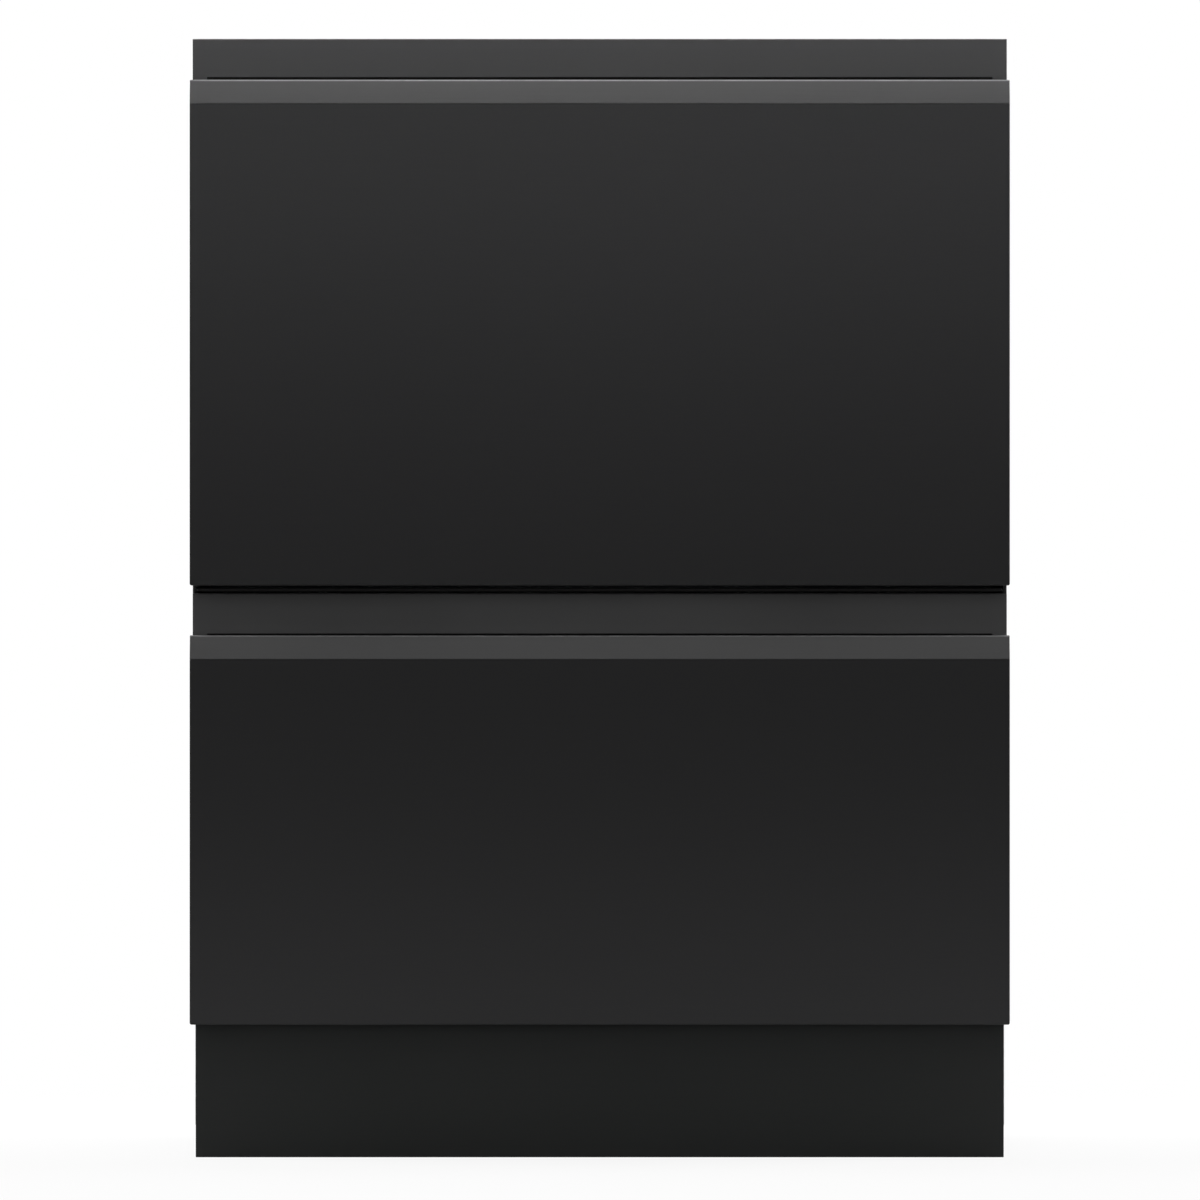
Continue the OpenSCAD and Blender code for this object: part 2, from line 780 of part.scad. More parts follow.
control_mid = (strip_back + control_back) / 2;
function button_x(n) = button_start + n * button_pitch;

// The upward-facing panel that shows when the drawer is open, with its skirt and display window
module control_panel(k) {
  top = control_drop;
  color(moulded_black) translate([0, 0, top_z(k)]) difference() {
    slab(top, control_deck) translate([0, control_mid]) round_rect(control_w, control_d, 4);
    slab(top + control_wall, control_deck + 1) translate([0, control_mid])
      round_rect(control_w - 2 * control_wall, control_d - 2 * control_wall, 3);
    for (n = [0:2]) {
      translate([button_x(n), control_mid, -10]) cylinder(r = button_r + button_clear, h = 20);
    }
    // Shallow window for the display
    slab(top - 1, top + 0.5) translate([0, control_mid]) round_rect(display_w, 18, 3);
    // Shallow lights beside the buttons
    for (n = [0:2]) translate([button_x(n), control_mid - 13, -top - 0.4]) cylinder(r = 1.2, h = 3, $fn = 24);
  }
}

// A round button with its flange and stem
module button(k, n) {
  top = control_drop - button_proud;
  flange = control_drop + control_wall + 0.3;
  color(moulded_grey) translate([button_x(n), control_mid, top_z(k)]) {
    difference() {
      translate([0, 0, -flange - 1.2]) cylinder(r = button_r, h = flange + 1.2 - top);
      // Finger dish
      translate([0, 0, -top + 29.6]) sphere(r = 30, $fn = 96);
    }
    translate([0, 0, -flange - 1.2]) cylinder(r = button_r + 1.6, h = 1.2);
    translate([0, 0, -control_deck + 3.3 + button_travel]) cylinder(r = 2, h = control_deck - flange - 3.6 - button_travel);
  }
}

// The moulded bulkhead between the front and the tub: deck, electronics box, ribs and back plate
carrier_half = shell_half - 6;
carrier_t = 2.5;
carrier_end_rib = shell_half - 33;
carrier_ribs = [-carrier_end_rib, -205, -145, -25, 35, 93, 150, 208, carrier_end_rib];
module front_carrier(k) {
  bottom = front_depth(k) - 5;
  color(moulded_grey) translate([0, 0, top_z(k)]) {
    difference() {
      union() {
        // Deck and the shallow box under the controls
        slab(control_deck, rim_depth - 4)
          translate([0, (strip_back + 1 + control_back) / 2])
            square([2 * carrier_half, control_d - 1], center = true);
        // Back plate of the front panel, below the finger pocket
        block([-shell_half, strip_y, -bottom], [shell_half, strip_y + carrier_t, -pocket_bottom - 3]);
      }
      slab(control_deck + carrier_t, rim_depth)
        translate([0, (strip_back + 1 + control_back) / 2])
          square([2 * carrier_half - 2 * carrier_t, control_d - 1 - 2 * carrier_t], center = true);
    }
    // Switch posts under the buttons
    for (n = [0:2]) translate([button_x(n), control_mid, -control_deck - 0.5]) cylinder(r = 3.5, h = 2.8);
    // Ribs from the back plate to the tub
    for (x = carrier_ribs) {
      difference() {
        block([x - 1.5, strip_back, -bottom], [x + 1.5, tub_front, -rim_depth + 6]);
        block([x - 2, tub_front - rim_w - 0.5, -rim_depth - 5], [x + 2, tub_front + 1, -rim_depth + 7]);
        // Lightening hole
        translate([x - 5, strip_y + 26, -(bottom + rim_depth) / 2]) rotate([0, 90, 0]) cylinder(r = 13, h = 10);
      }
    }
    // Cross rib low down, in front of the tub
    block([-carrier_end_rib - 1, strip_y + 1, -bottom], [carrier_end_rib + 1, tub_front, -bottom + carrier_t]);
  }
}

// ---------------------------------------------------------------- tub

window_w = dispenser_w - 8;
window_h = dispenser_h - 6;
dispenser_x = -85;
dispenser_top = rim_depth + 9;

module tub(k) {
  bottom = floor_depth(k);
  color(tub_grey) translate([0, 0, top_z(k)]) difference() {
    union() {
      slab(rim_depth, bottom + tub_wall) translate([0, tub_mid]) round_rect(tub_w, tub_d, tub_corner);
      slab(rim_depth, rim_depth + 3.5) translate([0, tub_mid])
        round_rect(tub_w + 2 * rim_w, tub_d + 2 * rim_w, tub_corner + rim_w);
      translate([0, tub_mid, -sump_under(k)]) cylinder(r = sump_r + tub_wall, h = sump_depth + tub_wall);
      // Stiffening bands and upright ribs on the rear wall
      for (h = [rim_depth + 16, (rim_depth + bottom) / 2]) {
        block([-tub_w / 2 + tub_corner, tub_rear - 1, -h - 3], [tub_w / 2 - tub_corner, tub_rear + 4, -h]);
      }
      for (x = [-200:50:200]) {
        block([x - 1.5, tub_rear - 1, -bottom - tub_wall], [x + 1.5, tub_rear + 5, -rim_depth - 1]);
      }
      // Ribs under the floor, from the sump out to the walls
      for (a = [0:30:330]) {
        translate([0, tub_mid, -bottom - tub_wall - 5]) rotate([0, 0, a])
          block([sump_r, -1.5, 0], [tub_d / 2 - 14, 1.5, 6]);
      }
    }
    slab(rim_depth - 1, bottom) translate([0, tub_mid])
      round_rect(tub_w - 2 * tub_wall, tub_d - 2 * tub_wall, tub_corner - tub_wall);
    translate([0, tub_mid, -bottom - sump_depth]) cylinder(r = sump_r, h = sump_depth + 1);
    // Window for the dispenser
    block([dispenser_x - window_w / 2, tub_front - 2, -dispenser_top - 3 - window_h],
      [dispenser_x + window_w / 2, tub_front + tub_wall + 2, -dispenser_top - 3]);
  }
  // Corner posts that carry the rack
  color(tub_grey) translate([0, tub_mid, top_z(k) - bottom]) both_sides() for (s = [0, 1]) mirror([0, s, 0]) {
    difference() {
      block([post_x - 11, post_y - 11, -1], [post_x + 11, post_y + 11, post_h]);
      block([post_x - 8, post_y - 8, 6], [post_x + 14, post_y + 8, post_h - 4]);
    }
  }
}

post_x = rack_w / 2 - 16;
post_y = tub_d / 2 - 24;

// Distance between the three rings of slots in the filter plate
ring_pitch = (sump_r - 54) / 3;

// The perforated plate over the sump, with the spray arm's spindle and the lift-out filter's grip
module filter_plate(k) {
  z = top_z(k) - floor_depth(k);
  color(moulded_grey) translate([0, tub_mid, z]) {
    difference() {
      union() {
        translate([0, 0, -filter_t]) cylinder(r = sump_r - 0.5, h = filter_t);
        cylinder(r = 30, h = 4);
        translate([0, 0, -sump_depth]) difference() {
          cylinder(r = sump_r - 0.5, h = sump_depth - filter_t + 1);
          translate([0, 0, -1]) cylinder(r = sump_r - 3.5, h = sump_depth - filter_t + 3);
        }
      }
      for (ring = [0:2], a = [0:15:345]) {
        rotate([0, 0, a + 7.5 * ring]) translate([46 + ring_pitch * ring, 0, -filter_t - 1])
          block([0, -1.5, 0], [ring_pitch - 10, 1.5, filter_t + 2]);
      }
    }
    cylinder(r = spindle_r, h = arm_lift + arm_t + 4);
    cylinder(r = spindle_r + 5, h = arm_lift - 0.3);
  }
  // The lift-out filter stands beside the spindle
  color(moulded_grey) translate([118, tub_mid + 60, z]) {
    difference() {
      cylinder(r = 24, h = 4);
      translate([0, 0, 1.5]) cylinder(r = 20, h = 4);
    }
    block([-20, -2, 0], [20, 2, 9]);
  }
}

// The wash motor: a flat ribbed housing under the sump, with its connector
module wash_motor(k) {
  color(moulded_black) translate([0, tub_mid, top_z(k) - sump_under(k) - motor_h]) {
    difference() {
      union() {
        translate([0, 0, motor_h - 6]) cylinder(r = motor_r + 14, h = 6);
        cylinder(r1 = motor_r - 12, r2 = motor_r - 6, h = motor_h - 5);
        for (a = [0:30:330]) {
          rotate([0, 0, a]) block([motor_r - 20, -2, 4], [motor_r + 10, 2, motor_h - 5]);
        }
        translate([0, motor_r - 20, 6]) block([-24, 0, 0], [24, 34, 20]);
      }
      translate([0, 0, -1]) cylinder(r = 42, h = 9);
    }
    cylinder(r = 18, h = 9);
  }
}

// A two-armed spray arm with swept jets, free to turn on its spindle
module spray_arm(k) {
  z = top_z(k) - floor_depth(k) + arm_lift;
  color(moulded_white) translate([0, tub_mid, z]) difference() {
    union() {
      linear_extrude(arm_t) for (s = [0, 180]) rotate(s) arm_outline(28, 17);
      translate([0, 0, arm_t - 1]) linear_extrude(3) for (s = [0, 180]) rotate(s) arm_outline(18, 9);
      cylinder(r = 30, h = arm_t + 2);
      for (s = [0, 180], t = [0.35, 0.6, 0.85]) rotate(s)
        translate([t * (arm_r - 20), 0, arm_t + 1]) cylinder(r1 = 8, r2 = 5, h = 4);
    }
    translate([0, 0, -1]) cylinder(r = spindle_r + spindle_clear, h = arm_t + 20);
    for (s = [0, 180], t = [0.35, 0.6, 0.85]) rotate(s)
      translate([t * (arm_r - 20), 0, arm_t - 2]) cylinder(r = 2, h = 20, $fn = 24);
  }
}

// Half of the arm seen from above: it tapers from the hub to a round tip
module arm_outline(root, tip) {
  end = arm_r - tip;
  taper = asin((root - tip) / end);
  x_root = root * sin(taper);
  y_root = root * cos(taper);
  tip_facets = 7;
  polygon(concat([[-1, -y_root], [x_root, -y_root]],
    [for (i = [-tip_facets:tip_facets]) let (a = (90 - taper) * i / tip_facets) [end + tip * cos(a), tip * sin(a)]],
    [[x_root, y_root], [-1, y_root]]));
}

// ---------------------------------------------------------------- racks

rack_half = rack_w / 2;
base_wires_z = wire_d / 2;
cross_lift = wire_d - 1;
function long_x(i) = -rack_half + 18 + i * (rack_w - 36) / (long_wires - 1);
function cross_y(i) = -rack_d / 2 + 18 + i * (rack_d - 36) / (cross_wires - 1);
rail_wire_x = rack_half - wire_d / 2 - 6.4;
clip_r = wire_d / 2 + 2.4;
fold_y = cross_y(cross_wires / 2) - (cross_y(1) - cross_y(0)) / 2;
tine_half = (tine_count - 1) * tine_pitch / 2;
tine_base = base_wires_z + cross_lift + wire_d / 2;
axle_z = tine_base + clip_r - 0.6;
clip_w = 9;
fold_clips = [-tine_half - tine_pitch / 2, 0, tine_half + tine_pitch / 2 - clip_w];

// A rack of coated wire: two layers of U-shaped wires, loops round them, tines and hinge clips
module rack(k, tine_rows) {
  rise = rack_base(k) - rack_rim;
  color(wire_grey) translate([0, tub_mid, top_z(k) - rack_base(k)]) {
    for (i = [0:long_wires - 1]) {
      translate([long_x(i), 0, base_wires_z]) rotate([0, 0, 90]) u_wire(rack_d, rise - base_wires_z, bend_r);
    }
    for (i = [0:cross_wires - 1]) {
      translate([0, cross_y(i), base_wires_z + cross_lift])
        u_wire(rack_w, rise - base_wires_z - cross_lift, bend_r);
    }
    translate([0, 0, rise]) wire_loop(rack_w, rack_d, tub_corner - 12, rim_wire_d);
    for (row = tine_rows, i = [0:tine_count - 1]) {
      tine([-tine_half + i * tine_pitch, cross_y(row), base_wires_z + cross_lift], tine_h);
    }
    // Hinge clips of the folding tines
    for (x = fold_clips) translate([x, fold_y, axle_z]) clip_x();
    // Stringers under the clips
    for (x = fold_clips) wire_y([x + clip_w / 2, fold_y - (cross_y(1) - cross_y(0)) / 2, tine_base - 0.9],
      cross_y(1) - cross_y(0), wire_d);
    // Rails that the cup racks hang on
    cup_z = rack_base(k) - cup_depth;
    for (s = k == 0 ? [-1, 1] : [1]) {
      wire_y([s * rail_wire_x, -cup_len / 2 - 6, cup_z], cup_len + 12, wire_d, round_wire);
      for (y = [-1, 1]) {
        wire_y([s * rail_wire_x, y * (cup_len / 2 + 6) - 3, cup_z], 6, wire_d + 1.4, round_wire);
        wire_x([s > 0 ? rail_wire_x : -rack_half, y * (cup_len / 2 + 6), cup_z],
          rack_half - rail_wire_x, wire_d - 0.4);
      }
      wire_y([s * rack_half, -cup_len / 2 - 20, cup_z], cup_len + 40, wire_d - 0.2);
    }
  }
}

// A ring along X, or along Y, that a wire turns in
module clip_x() {
  rotate([0, 90, 0]) difference() {
    cylinder(r = clip_r, h = clip_w, $fn = 24);
    translate([0, 0, -1]) cylinder(r = wire_d / 2 + clip_clear, h = clip_w + 2, $fn = 24);
  }
}

module clip_y() {
  rotate([-90, 0, 0]) difference() {
    cylinder(r = clip_r, h = clip_w, $fn = 24);
    translate([0, 0, -1]) cylinder(r = wire_d / 2 + clip_clear, h = clip_w + 2, $fn = 24);
  }
}

// The row of tines that folds flat towards the back
module fold_tines(k) {
  axle = 2 * tine_half + tine_pitch + 6;
  color(wire_grey) translate([0, tub_mid + fold_y, top_z(k) - rack_base(k) + axle_z]) {
    wire_x([-axle / 2, 0, 0], axle, wire_d, round_wire);
    for (i = [0:tine_count - 1]) {
      x = -tine_half + i * tine_pitch;
      if (abs(x - fold_clips[1] - clip_w / 2) > clip_w) wire_z([x, 0, 0], tine_h - 8, wire_d, round_wire);
    }
    for (x = [-1, 1]) {
      translate([x * (axle / 2 - 1), 0, 0]) sphere(d = wire_d + 2, $fn = 24);
    }
  }
}

// A shelf of wires that hangs on the side rail and folds up against the wall
module cup_rack(k, side) {
  inner = cup_w - wire_d / 2;
  color(wire_grey) translate([0, tub_mid, top_z(k) - cup_depth]) {
    mirror([side < 0 ? 1 : 0, 0, 0]) translate([rail_wire_x, 0, 0]) {
      // Outer wire, spars and hinge clips
      for (x = [-inner, -inner * 0.55, -clip_r - 1.5]) {
        wire_y([x, -cup_len / 2 + 4, 0], cup_len - 8, wire_d, round_wire);
      }
      for (i = [0:8]) {
        y = -cup_len / 2 + 10 + i * (cup_len - 20) / 8;
        translate([-inner, y, 0]) rotate([0, 90, 0]) cylinder(d = wire_d, h = inner - clip_r - 1.5, $fn = 16);
      }
      for (y = [-cup_len / 2 + 6, -clip_w / 2, cup_len / 2 - 6 - clip_w]) {
        translate([0, y, 0]) clip_y();
        translate([-clip_r - 2, y, -wire_d / 2]) cube([2.6, clip_w, wire_d]);
      }
    }
  }
}

// The cutlery basket: four slotted cells in a row and a handle over the middle wall
module cutlery_basket(k) {
  low = top_z(k) - rack_base(k) + tine_base + 0.3;
  cell = (basket_l - (basket_cells + 1) * basket_wall) / basket_cells;
  function cell_x(i) = -basket_l / 2 + basket_wall + i * (cell + basket_wall) + cell / 2;
  color(moulded_grey) translate([basket_x, basket_y, low]) {
    difference() {
      linear_extrude(basket_h) round_rect(basket_l, basket_w, 8);
      for (i = [0:basket_cells - 1]) translate([cell_x(i), 0, 0]) {
        block([-cell / 2, -basket_w / 2 + basket_wall, basket_wall], [cell / 2, basket_w / 2 - basket_wall, basket_h + 1]);
        // Slots through the long walls and drain holes in the bottom
        for (m = [0:4], x = [-cell / 4, cell / 4]) {
          translate([x, 0, 12 + m * 19]) cube([cell / 2 - 6, basket_w + 4, 7], center = true);
        }
        for (x = [-cell / 4, cell / 4], y = [-basket_w / 4, basket_w / 4]) {
          translate([x, y, -1]) cylinder(r = 6, h = 5, $fn = 24);
        }
      }
    }
    difference() {
      block([-2.5, -basket_w / 2 + basket_wall - 0.01, basket_h - 4], [2.5, basket_w / 2 - basket_wall + 0.01, basket_h + 26]);
      block([-4, -basket_w / 2 + 10, basket_h + 1], [4, basket_w / 2 - 10, basket_h + 19]);
    }
  }
}

basket_x = 70;
basket_y = tub_mid + cross_y(0) + basket_w / 2 - 10;

// ---------------------------------------------------------------- dispenser

cup_w_in = dispenser_w * 0.54;
cup_x = dispenser_x - dispenser_w / 2 + 6 + cup_w_in / 2;
door_low = dispenser_top + dispenser_h - 5;
hinge_y = tub_front + tub_wall + 4.4;
hinge_r = 2.4;
hinge_pin_r = 1.3;
hinge_clear = 0.08;

// The dispenser in the tub's front wall: detergent cup, rinse-aid cap and hinge lugs
module dispenser(k) {
  face_y = tub_front + tub_wall;
  color(moulded_grey) translate([0, 0, top_z(k)]) {
    difference() {
      union() {
        block([dispenser_x - dispenser_w / 2, face_y, -dispenser_top - dispenser_h],
          [dispenser_x + dispenser_w / 2, face_y + 2, -dispenser_top]);
        block([dispenser_x - window_w / 2 + 0.3, face_y - cup_cut - 3, -dispenser_top - 3 - window_h + 0.3],
          [dispenser_x + window_w / 2 - 0.3, face_y + 1, -dispenser_top - 3.3]);
      }
      block([cup_x - cup_w_in / 2 + 2, face_y - cup_cut, -door_low + 5],
        [cup_x + cup_w_in / 2 - 2, face_y + 5, -dispenser_top - 6]);
    }
    // Rinse-aid cap
    translate([dispenser_x + dispenser_w / 2 - 22, face_y + 1, -dispenser_top - dispenser_h / 2]) rotate([-90, 0, 0]) {
      cylinder(r = 16, h = 4);
      translate([0, 0, 3]) block([-13, -2.5, 0], [13, 2.5, 5]);
    }
    // Hinge lugs on both sides of the door
    for (s = [-1, 1]) {
      translate([cup_x + s * (cup_w_in / 2 + 2.2), hinge_y, -door_low]) rotate([0, 90, 0]) difference() {
        union() {
          cylinder(r = hinge_r, h = 3, center = true, $fn = 24);
          translate([-hinge_r, face_y - hinge_y + 1, -1.5]) cube([2 * hinge_r, hinge_y - face_y - 1, 3]);
        }
        cylinder(r = hinge_pin_r + hinge_clear, h = 9, center = true, $fn = 24);
      }
    }
  }
}

// The door over the detergent cup: it falls open on its lower edge
module dispenser_door(k) {
  low = -door_low;
  high = -dispenser_top - 2;
  color(moulded_grey) translate([0, 0, top_z(k)]) {
    translate([cup_x, 0, 0]) {
      block([-cup_w_in / 2, hinge_y - 1.4, low], [cup_w_in / 2, hinge_y - 1.4 + door_t, high]);
      translate([0, hinge_y, low]) rotate([0, 90, 0]) {
        cylinder(r = hinge_r, h = cup_w_in, center = true, $fn = 24);
        cylinder(r = hinge_pin_r, h = cup_w_in + 7, center = true, $fn = 24);
      }
      // Raised finger bar near the top
      block([-12, hinge_y + door_t - 2, high - 8], [12, hinge_y + door_t + 1, high - 4]);
    }
  }
}

// ---------------------------------------------------------------- lids

lid_half = tub_w / 2 + rim_w - 2;
lid_span = tub_d + 2 * rim_w - 4;
lid_low = rim_depth - seal_gap - seal_h;
lid_top = lid_low - lid_h;
hanger_ys = [tub_front + 50, tub_rear - 50];
hanger_depth = lid_low - lid_h / 2;

// The lid at its lowered place: a ribbed moulding with a pin at each corner and a lug behind
module lid(k) {
  color(moulded_white) translate([0, 0, top_z(k)]) {
    difference() {
      union() {
        difference() {
          slab(lid_top, lid_low) translate([0, tub_mid]) round_rect(2 * lid_half, lid_span, tub_corner);
          slab(lid_top - 1, lid_low - lid_wall) translate([0, tub_mid])
            round_rect(2 * lid_half - 2 * lid_wall, lid_span - 2 * lid_wall, tub_corner - lid_wall);
        }
        // Ribs along and across
        for (x = [-210:70:210]) {
          block([x - 1.2, tub_mid - lid_span / 2 + 1, -lid_low], [x + 1.2, tub_mid + lid_span / 2 - 1, -lid_top - 6]);
        }
        for (y = [-140:70:140]) {
          block([-lid_half + 1, tub_mid + y - 1.2, -lid_low], [lid_half - 1, tub_mid + y + 1.2, -lid_top - 6]);
        }
      }
      // Shallow dome under the lid that drains to its edge
      slab(lid_low - 1.2, lid_low + 1) translate([0, tub_mid])
        round_rect(tub_w - 50, tub_d - 50, tub_corner - 12);
    }
    // Hanger pins
    both_sides() for (y = hanger_ys) {
      translate([lid_half - 1, y, -hanger_depth]) rotate([0, 90, 0]) cylinder(r = hanger_r, h = 7.4);
    }
    // Lifting lug at the rear
    block([-10, tub_mid + lid_span / 2 - 1, -lid_low + 8], [10, tub_mid + lid_span / 2 + 14, -lid_low + 14]);
  }
}

// The seal under the lid, over the tub's wall all round
module lid_seal(k) {
  mid_w = tub_w - tub_wall + rim_w / 2;
  mid_d = tub_d - tub_wall + rim_w / 2;
  color(rubber_black) translate([0, tub_mid, top_z(k)]) difference() {
    slab(lid_low, lid_low + seal_h) round_rect(mid_w + seal_w, mid_d + seal_w, tub_corner + seal_w / 2);
    slab(lid_low - 1, lid_low + seal_h + 1)
      round_rect(mid_w - seal_w, mid_d - seal_w, tub_corner - seal_w / 2);
  }
}

// Slotted brackets that guide each lid's pins, and the geared lifting motor on the rear wall
module lid_lifts() {
  slot_r = hanger_r + hanger_clear;
  plate_x = lid_half + 3;
  lug_y = tub_mid + lid_span / 2 + 14;
  motor_front = lug_y - 6;
  color(moulded_grey) for (k = [0, 1]) translate([0, 0, top_z(k)]) {
    both_sides() for (y = hanger_ys) difference() {
      block([plate_x, y - 16, -lid_low], [inner_half, y + 16, -lid_top + 6]);
      block([plate_x + 2, y - 17, -lid_low + 3], [inner_half - 1.5, y + 17, -lid_top + 3]);
      for (h = [hanger_depth, hanger_depth - lid_lift]) {
        translate([plate_x - 1, y, -h]) rotate([0, 90, 0]) cylinder(r = slot_r, h = 4);
      }
      block([plate_x - 1, y - slot_r, -hanger_depth], [plate_x + 3, y + slot_r, -hanger_depth + lid_lift]);
    }
    difference() {
      block([-42, motor_front, -lid_low], [42, rear_y - sheet, -lid_top + 4]);
      block([-10.4, motor_front - 1, -lid_low + 7.6], [10.4, lug_y + 0.5, -lid_low + 14.4 + lid_lift]);
    }
    translate([62, (motor_front + rear_y - sheet) / 2, -(lid_low + lid_top) / 2]) rotate([0, -90, 0])
      cylinder(r = 13, h = 24);
  }
}

// ---------------------------------------------------------------- drawn nodes

module upper_tub() tub(0);
module upper_front_panel() front_panel(0);
module upper_grip_lip() grip_lip(0);
module upper_recess_strip() recess_strip(0);
module upper_control_panel() control_panel(0);
module upper_front_carrier() front_carrier(0);
module upper_filter_plate() filter_plate(0);
module upper_wash_motor() wash_motor(0);
module upper_spray_arm() spray_arm(0);
module upper_rack() rack(0, [7, 8]);
module upper_cup_rack_left() cup_rack(0, -1);
module upper_cup_rack_right() cup_rack(0, 1);
module upper_fold_tines() fold_tines(0);
module upper_cutlery_basket() cutlery_basket(0);
module upper_dispenser() dispenser(0);
module upper_dispenser_door() dispenser_door(0);
module upper_power_button() button(0, 0);
module upper_program_button() button(0, 1);
module upper_start_button() button(0, 2);
module upper_drawer_rails() drawer_rails(0);
module upper_mid_rails() mid_rails(0);
module upper_lid() lid(0);
module upper_lid_seal() lid_seal(0);
module lower_tub() tub(1);
module lower_front_panel() front_panel(1);
module lower_grip_lip() grip_lip(1);
module lower_recess_strip() recess_strip(1);
module lower_control_panel() control_panel(1);
module lower_front_carrier() front_carrier(1);
module lower_filter_plate() filter_plate(1);
module lower_wash_motor() wash_motor(1);
module lower_spray_arm() spray_arm(1);
module lower_rack() rack(1, [1, 2, 7, 8]);
module lower_cup_rack_right() cup_rack(1, 1);
module lower_fold_tines() fold_tines(1);
module lower_dispenser() dispenser(1);
module lower_dispenser_door() dispenser_door(1);
module lower_power_button() button(1, 0);
module lower_program_button() button(1, 1);
module lower_start_button() button(1, 2);
module lower_drawer_rails() drawer_rails(1);
module lower_mid_rails() mid_rails(1);
module lower_lid() lid(1);
module lower_lid_seal() lid_seal(1);

left_side_panel();
right_side_panel();
rear_panel();
base_pan();
top_panel();
mid_panel();
kickboard();
cabinet_rails();
lid_lifts();
water_valve();
waste_outlet();
power_inlet();
foot_front_left();
foot_front_right();
foot_rear_left();
foot_rear_right();
upper_tub();
upper_front_panel();
upper_grip_lip();
upper_recess_strip();
upper_control_panel();
upper_front_carrier();
upper_filter_plate();
upper_wash_motor();
upper_spray_arm();
upper_rack();
upper_cup_rack_left();
upper_cup_rack_right();
upper_fold_tines();
upper_cutlery_basket();
upper_dispenser();
upper_dispenser_door();
upper_power_button();
upper_program_button();
upper_start_button();
upper_drawer_rails();
upper_mid_rails();
upper_lid();
upper_lid_seal();
lower_tub();
lower_front_panel();
lower_grip_lip();
lower_recess_strip();
lower_control_panel();
lower_front_carrier();
lower_filter_plate();
lower_wash_motor();
lower_spray_arm();
lower_rack();
lower_cup_rack_right();
lower_fold_tines();
lower_dispenser();
lower_dispenser_door();
lower_power_button();
lower_program_button();
lower_start_button();
lower_drawer_rails();
lower_mid_rails();
lower_lid();
lower_lid_seal();
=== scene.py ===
# %% [markdown]
# # Double dishwasher drawer
# Two wash drawers stand one above the other in one cabinet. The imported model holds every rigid
# piece at its real size, and this scene gives the pieces their finishes and adds the fine parts
# that are too small for the solids. Everything is in metres: +Z is up, the fronts face -Y, and the
# origin is on the floor under the middle of the cabinet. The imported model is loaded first, because
# every new piece is placed against it.

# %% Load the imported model
import math

import bmesh
import bpy
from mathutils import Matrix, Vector


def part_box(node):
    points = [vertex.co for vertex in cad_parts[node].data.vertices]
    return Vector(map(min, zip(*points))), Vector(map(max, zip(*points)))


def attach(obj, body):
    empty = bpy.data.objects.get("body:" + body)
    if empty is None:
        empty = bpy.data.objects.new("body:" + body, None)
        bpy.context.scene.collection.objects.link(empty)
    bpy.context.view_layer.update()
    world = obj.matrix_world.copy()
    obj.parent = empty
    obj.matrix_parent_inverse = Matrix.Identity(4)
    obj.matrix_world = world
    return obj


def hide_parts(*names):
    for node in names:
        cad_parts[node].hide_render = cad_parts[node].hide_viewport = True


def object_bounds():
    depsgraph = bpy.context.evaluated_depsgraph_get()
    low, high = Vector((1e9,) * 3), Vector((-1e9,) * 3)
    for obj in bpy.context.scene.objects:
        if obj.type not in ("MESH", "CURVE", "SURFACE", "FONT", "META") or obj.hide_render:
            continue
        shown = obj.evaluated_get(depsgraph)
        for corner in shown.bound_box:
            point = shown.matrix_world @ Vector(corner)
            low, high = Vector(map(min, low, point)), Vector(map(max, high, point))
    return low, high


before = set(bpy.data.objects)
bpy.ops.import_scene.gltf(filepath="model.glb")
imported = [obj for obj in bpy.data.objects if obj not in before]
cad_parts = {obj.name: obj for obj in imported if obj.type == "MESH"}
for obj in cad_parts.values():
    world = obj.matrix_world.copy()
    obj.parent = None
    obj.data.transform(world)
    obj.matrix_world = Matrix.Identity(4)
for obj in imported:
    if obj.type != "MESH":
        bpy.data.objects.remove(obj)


def corners(found):
    """A box as two plain lists of numbers."""
    return [[round(float(c), 6) for c in corner] for corner in found]


cad_box = corners(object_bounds())

# %% [markdown]
# The photograph is a straight look at the front from far away, so parallel edges stay parallel. A
# long lens at twelve metres gives that view, and it still is a real perspective. The picture is
# taken to be 1200 pixels square, and one pixel covers 0.7303 mm at the fronts.

# %% Camera
distance = 12.0
picture = 1200
pixel = 0.0007303
look_side, look_height = 0.0002, 0.4092
front_y = cad_box[0][1]
frame_width = picture * pixel

camera_data = bpy.data.cameras.new("camera")
camera_data.lens = camera_data.sensor_width * distance / frame_width
camera_data.clip_end = 5 * distance
camera = bpy.data.objects.new("camera", camera_data)
camera.location = (look_side, front_y - distance, look_height)
camera.rotation_euler = (math.radians(90), 0, 0)
bpy.context.scene.collection.objects.link(camera)
bpy.context.scene.camera = camera
bpy.context.scene.view_settings.view_transform = "Standard"
print("lens", round(camera_data.lens, 1), "mm, frame", round(frame_width, 4), "m wide")

# %% [markdown]
# The floor is a pale sheet. The camera sees it white, as a cleared studio background, while every
# other ray meets a plain pale surface that throws soft light up at the kickboard and takes the
# shadow. A tenth of the lit floor is mixed in for the camera near the object, which keeps the
# shadow, and it fades out with distance, so that no horizon shows.

# %% Floor
floor_size = 40
floor_gap = 0.0005

bpy.ops.object.select_all(action="DESELECT")
bpy.ops.mesh.primitive_plane_add(size=floor_size, location=(0, 0, -floor_gap))
floor = bpy.context.object
floor.name = "studio_floor"
bpy.ops.object.transform_apply(location=True, rotation=False, scale=True)

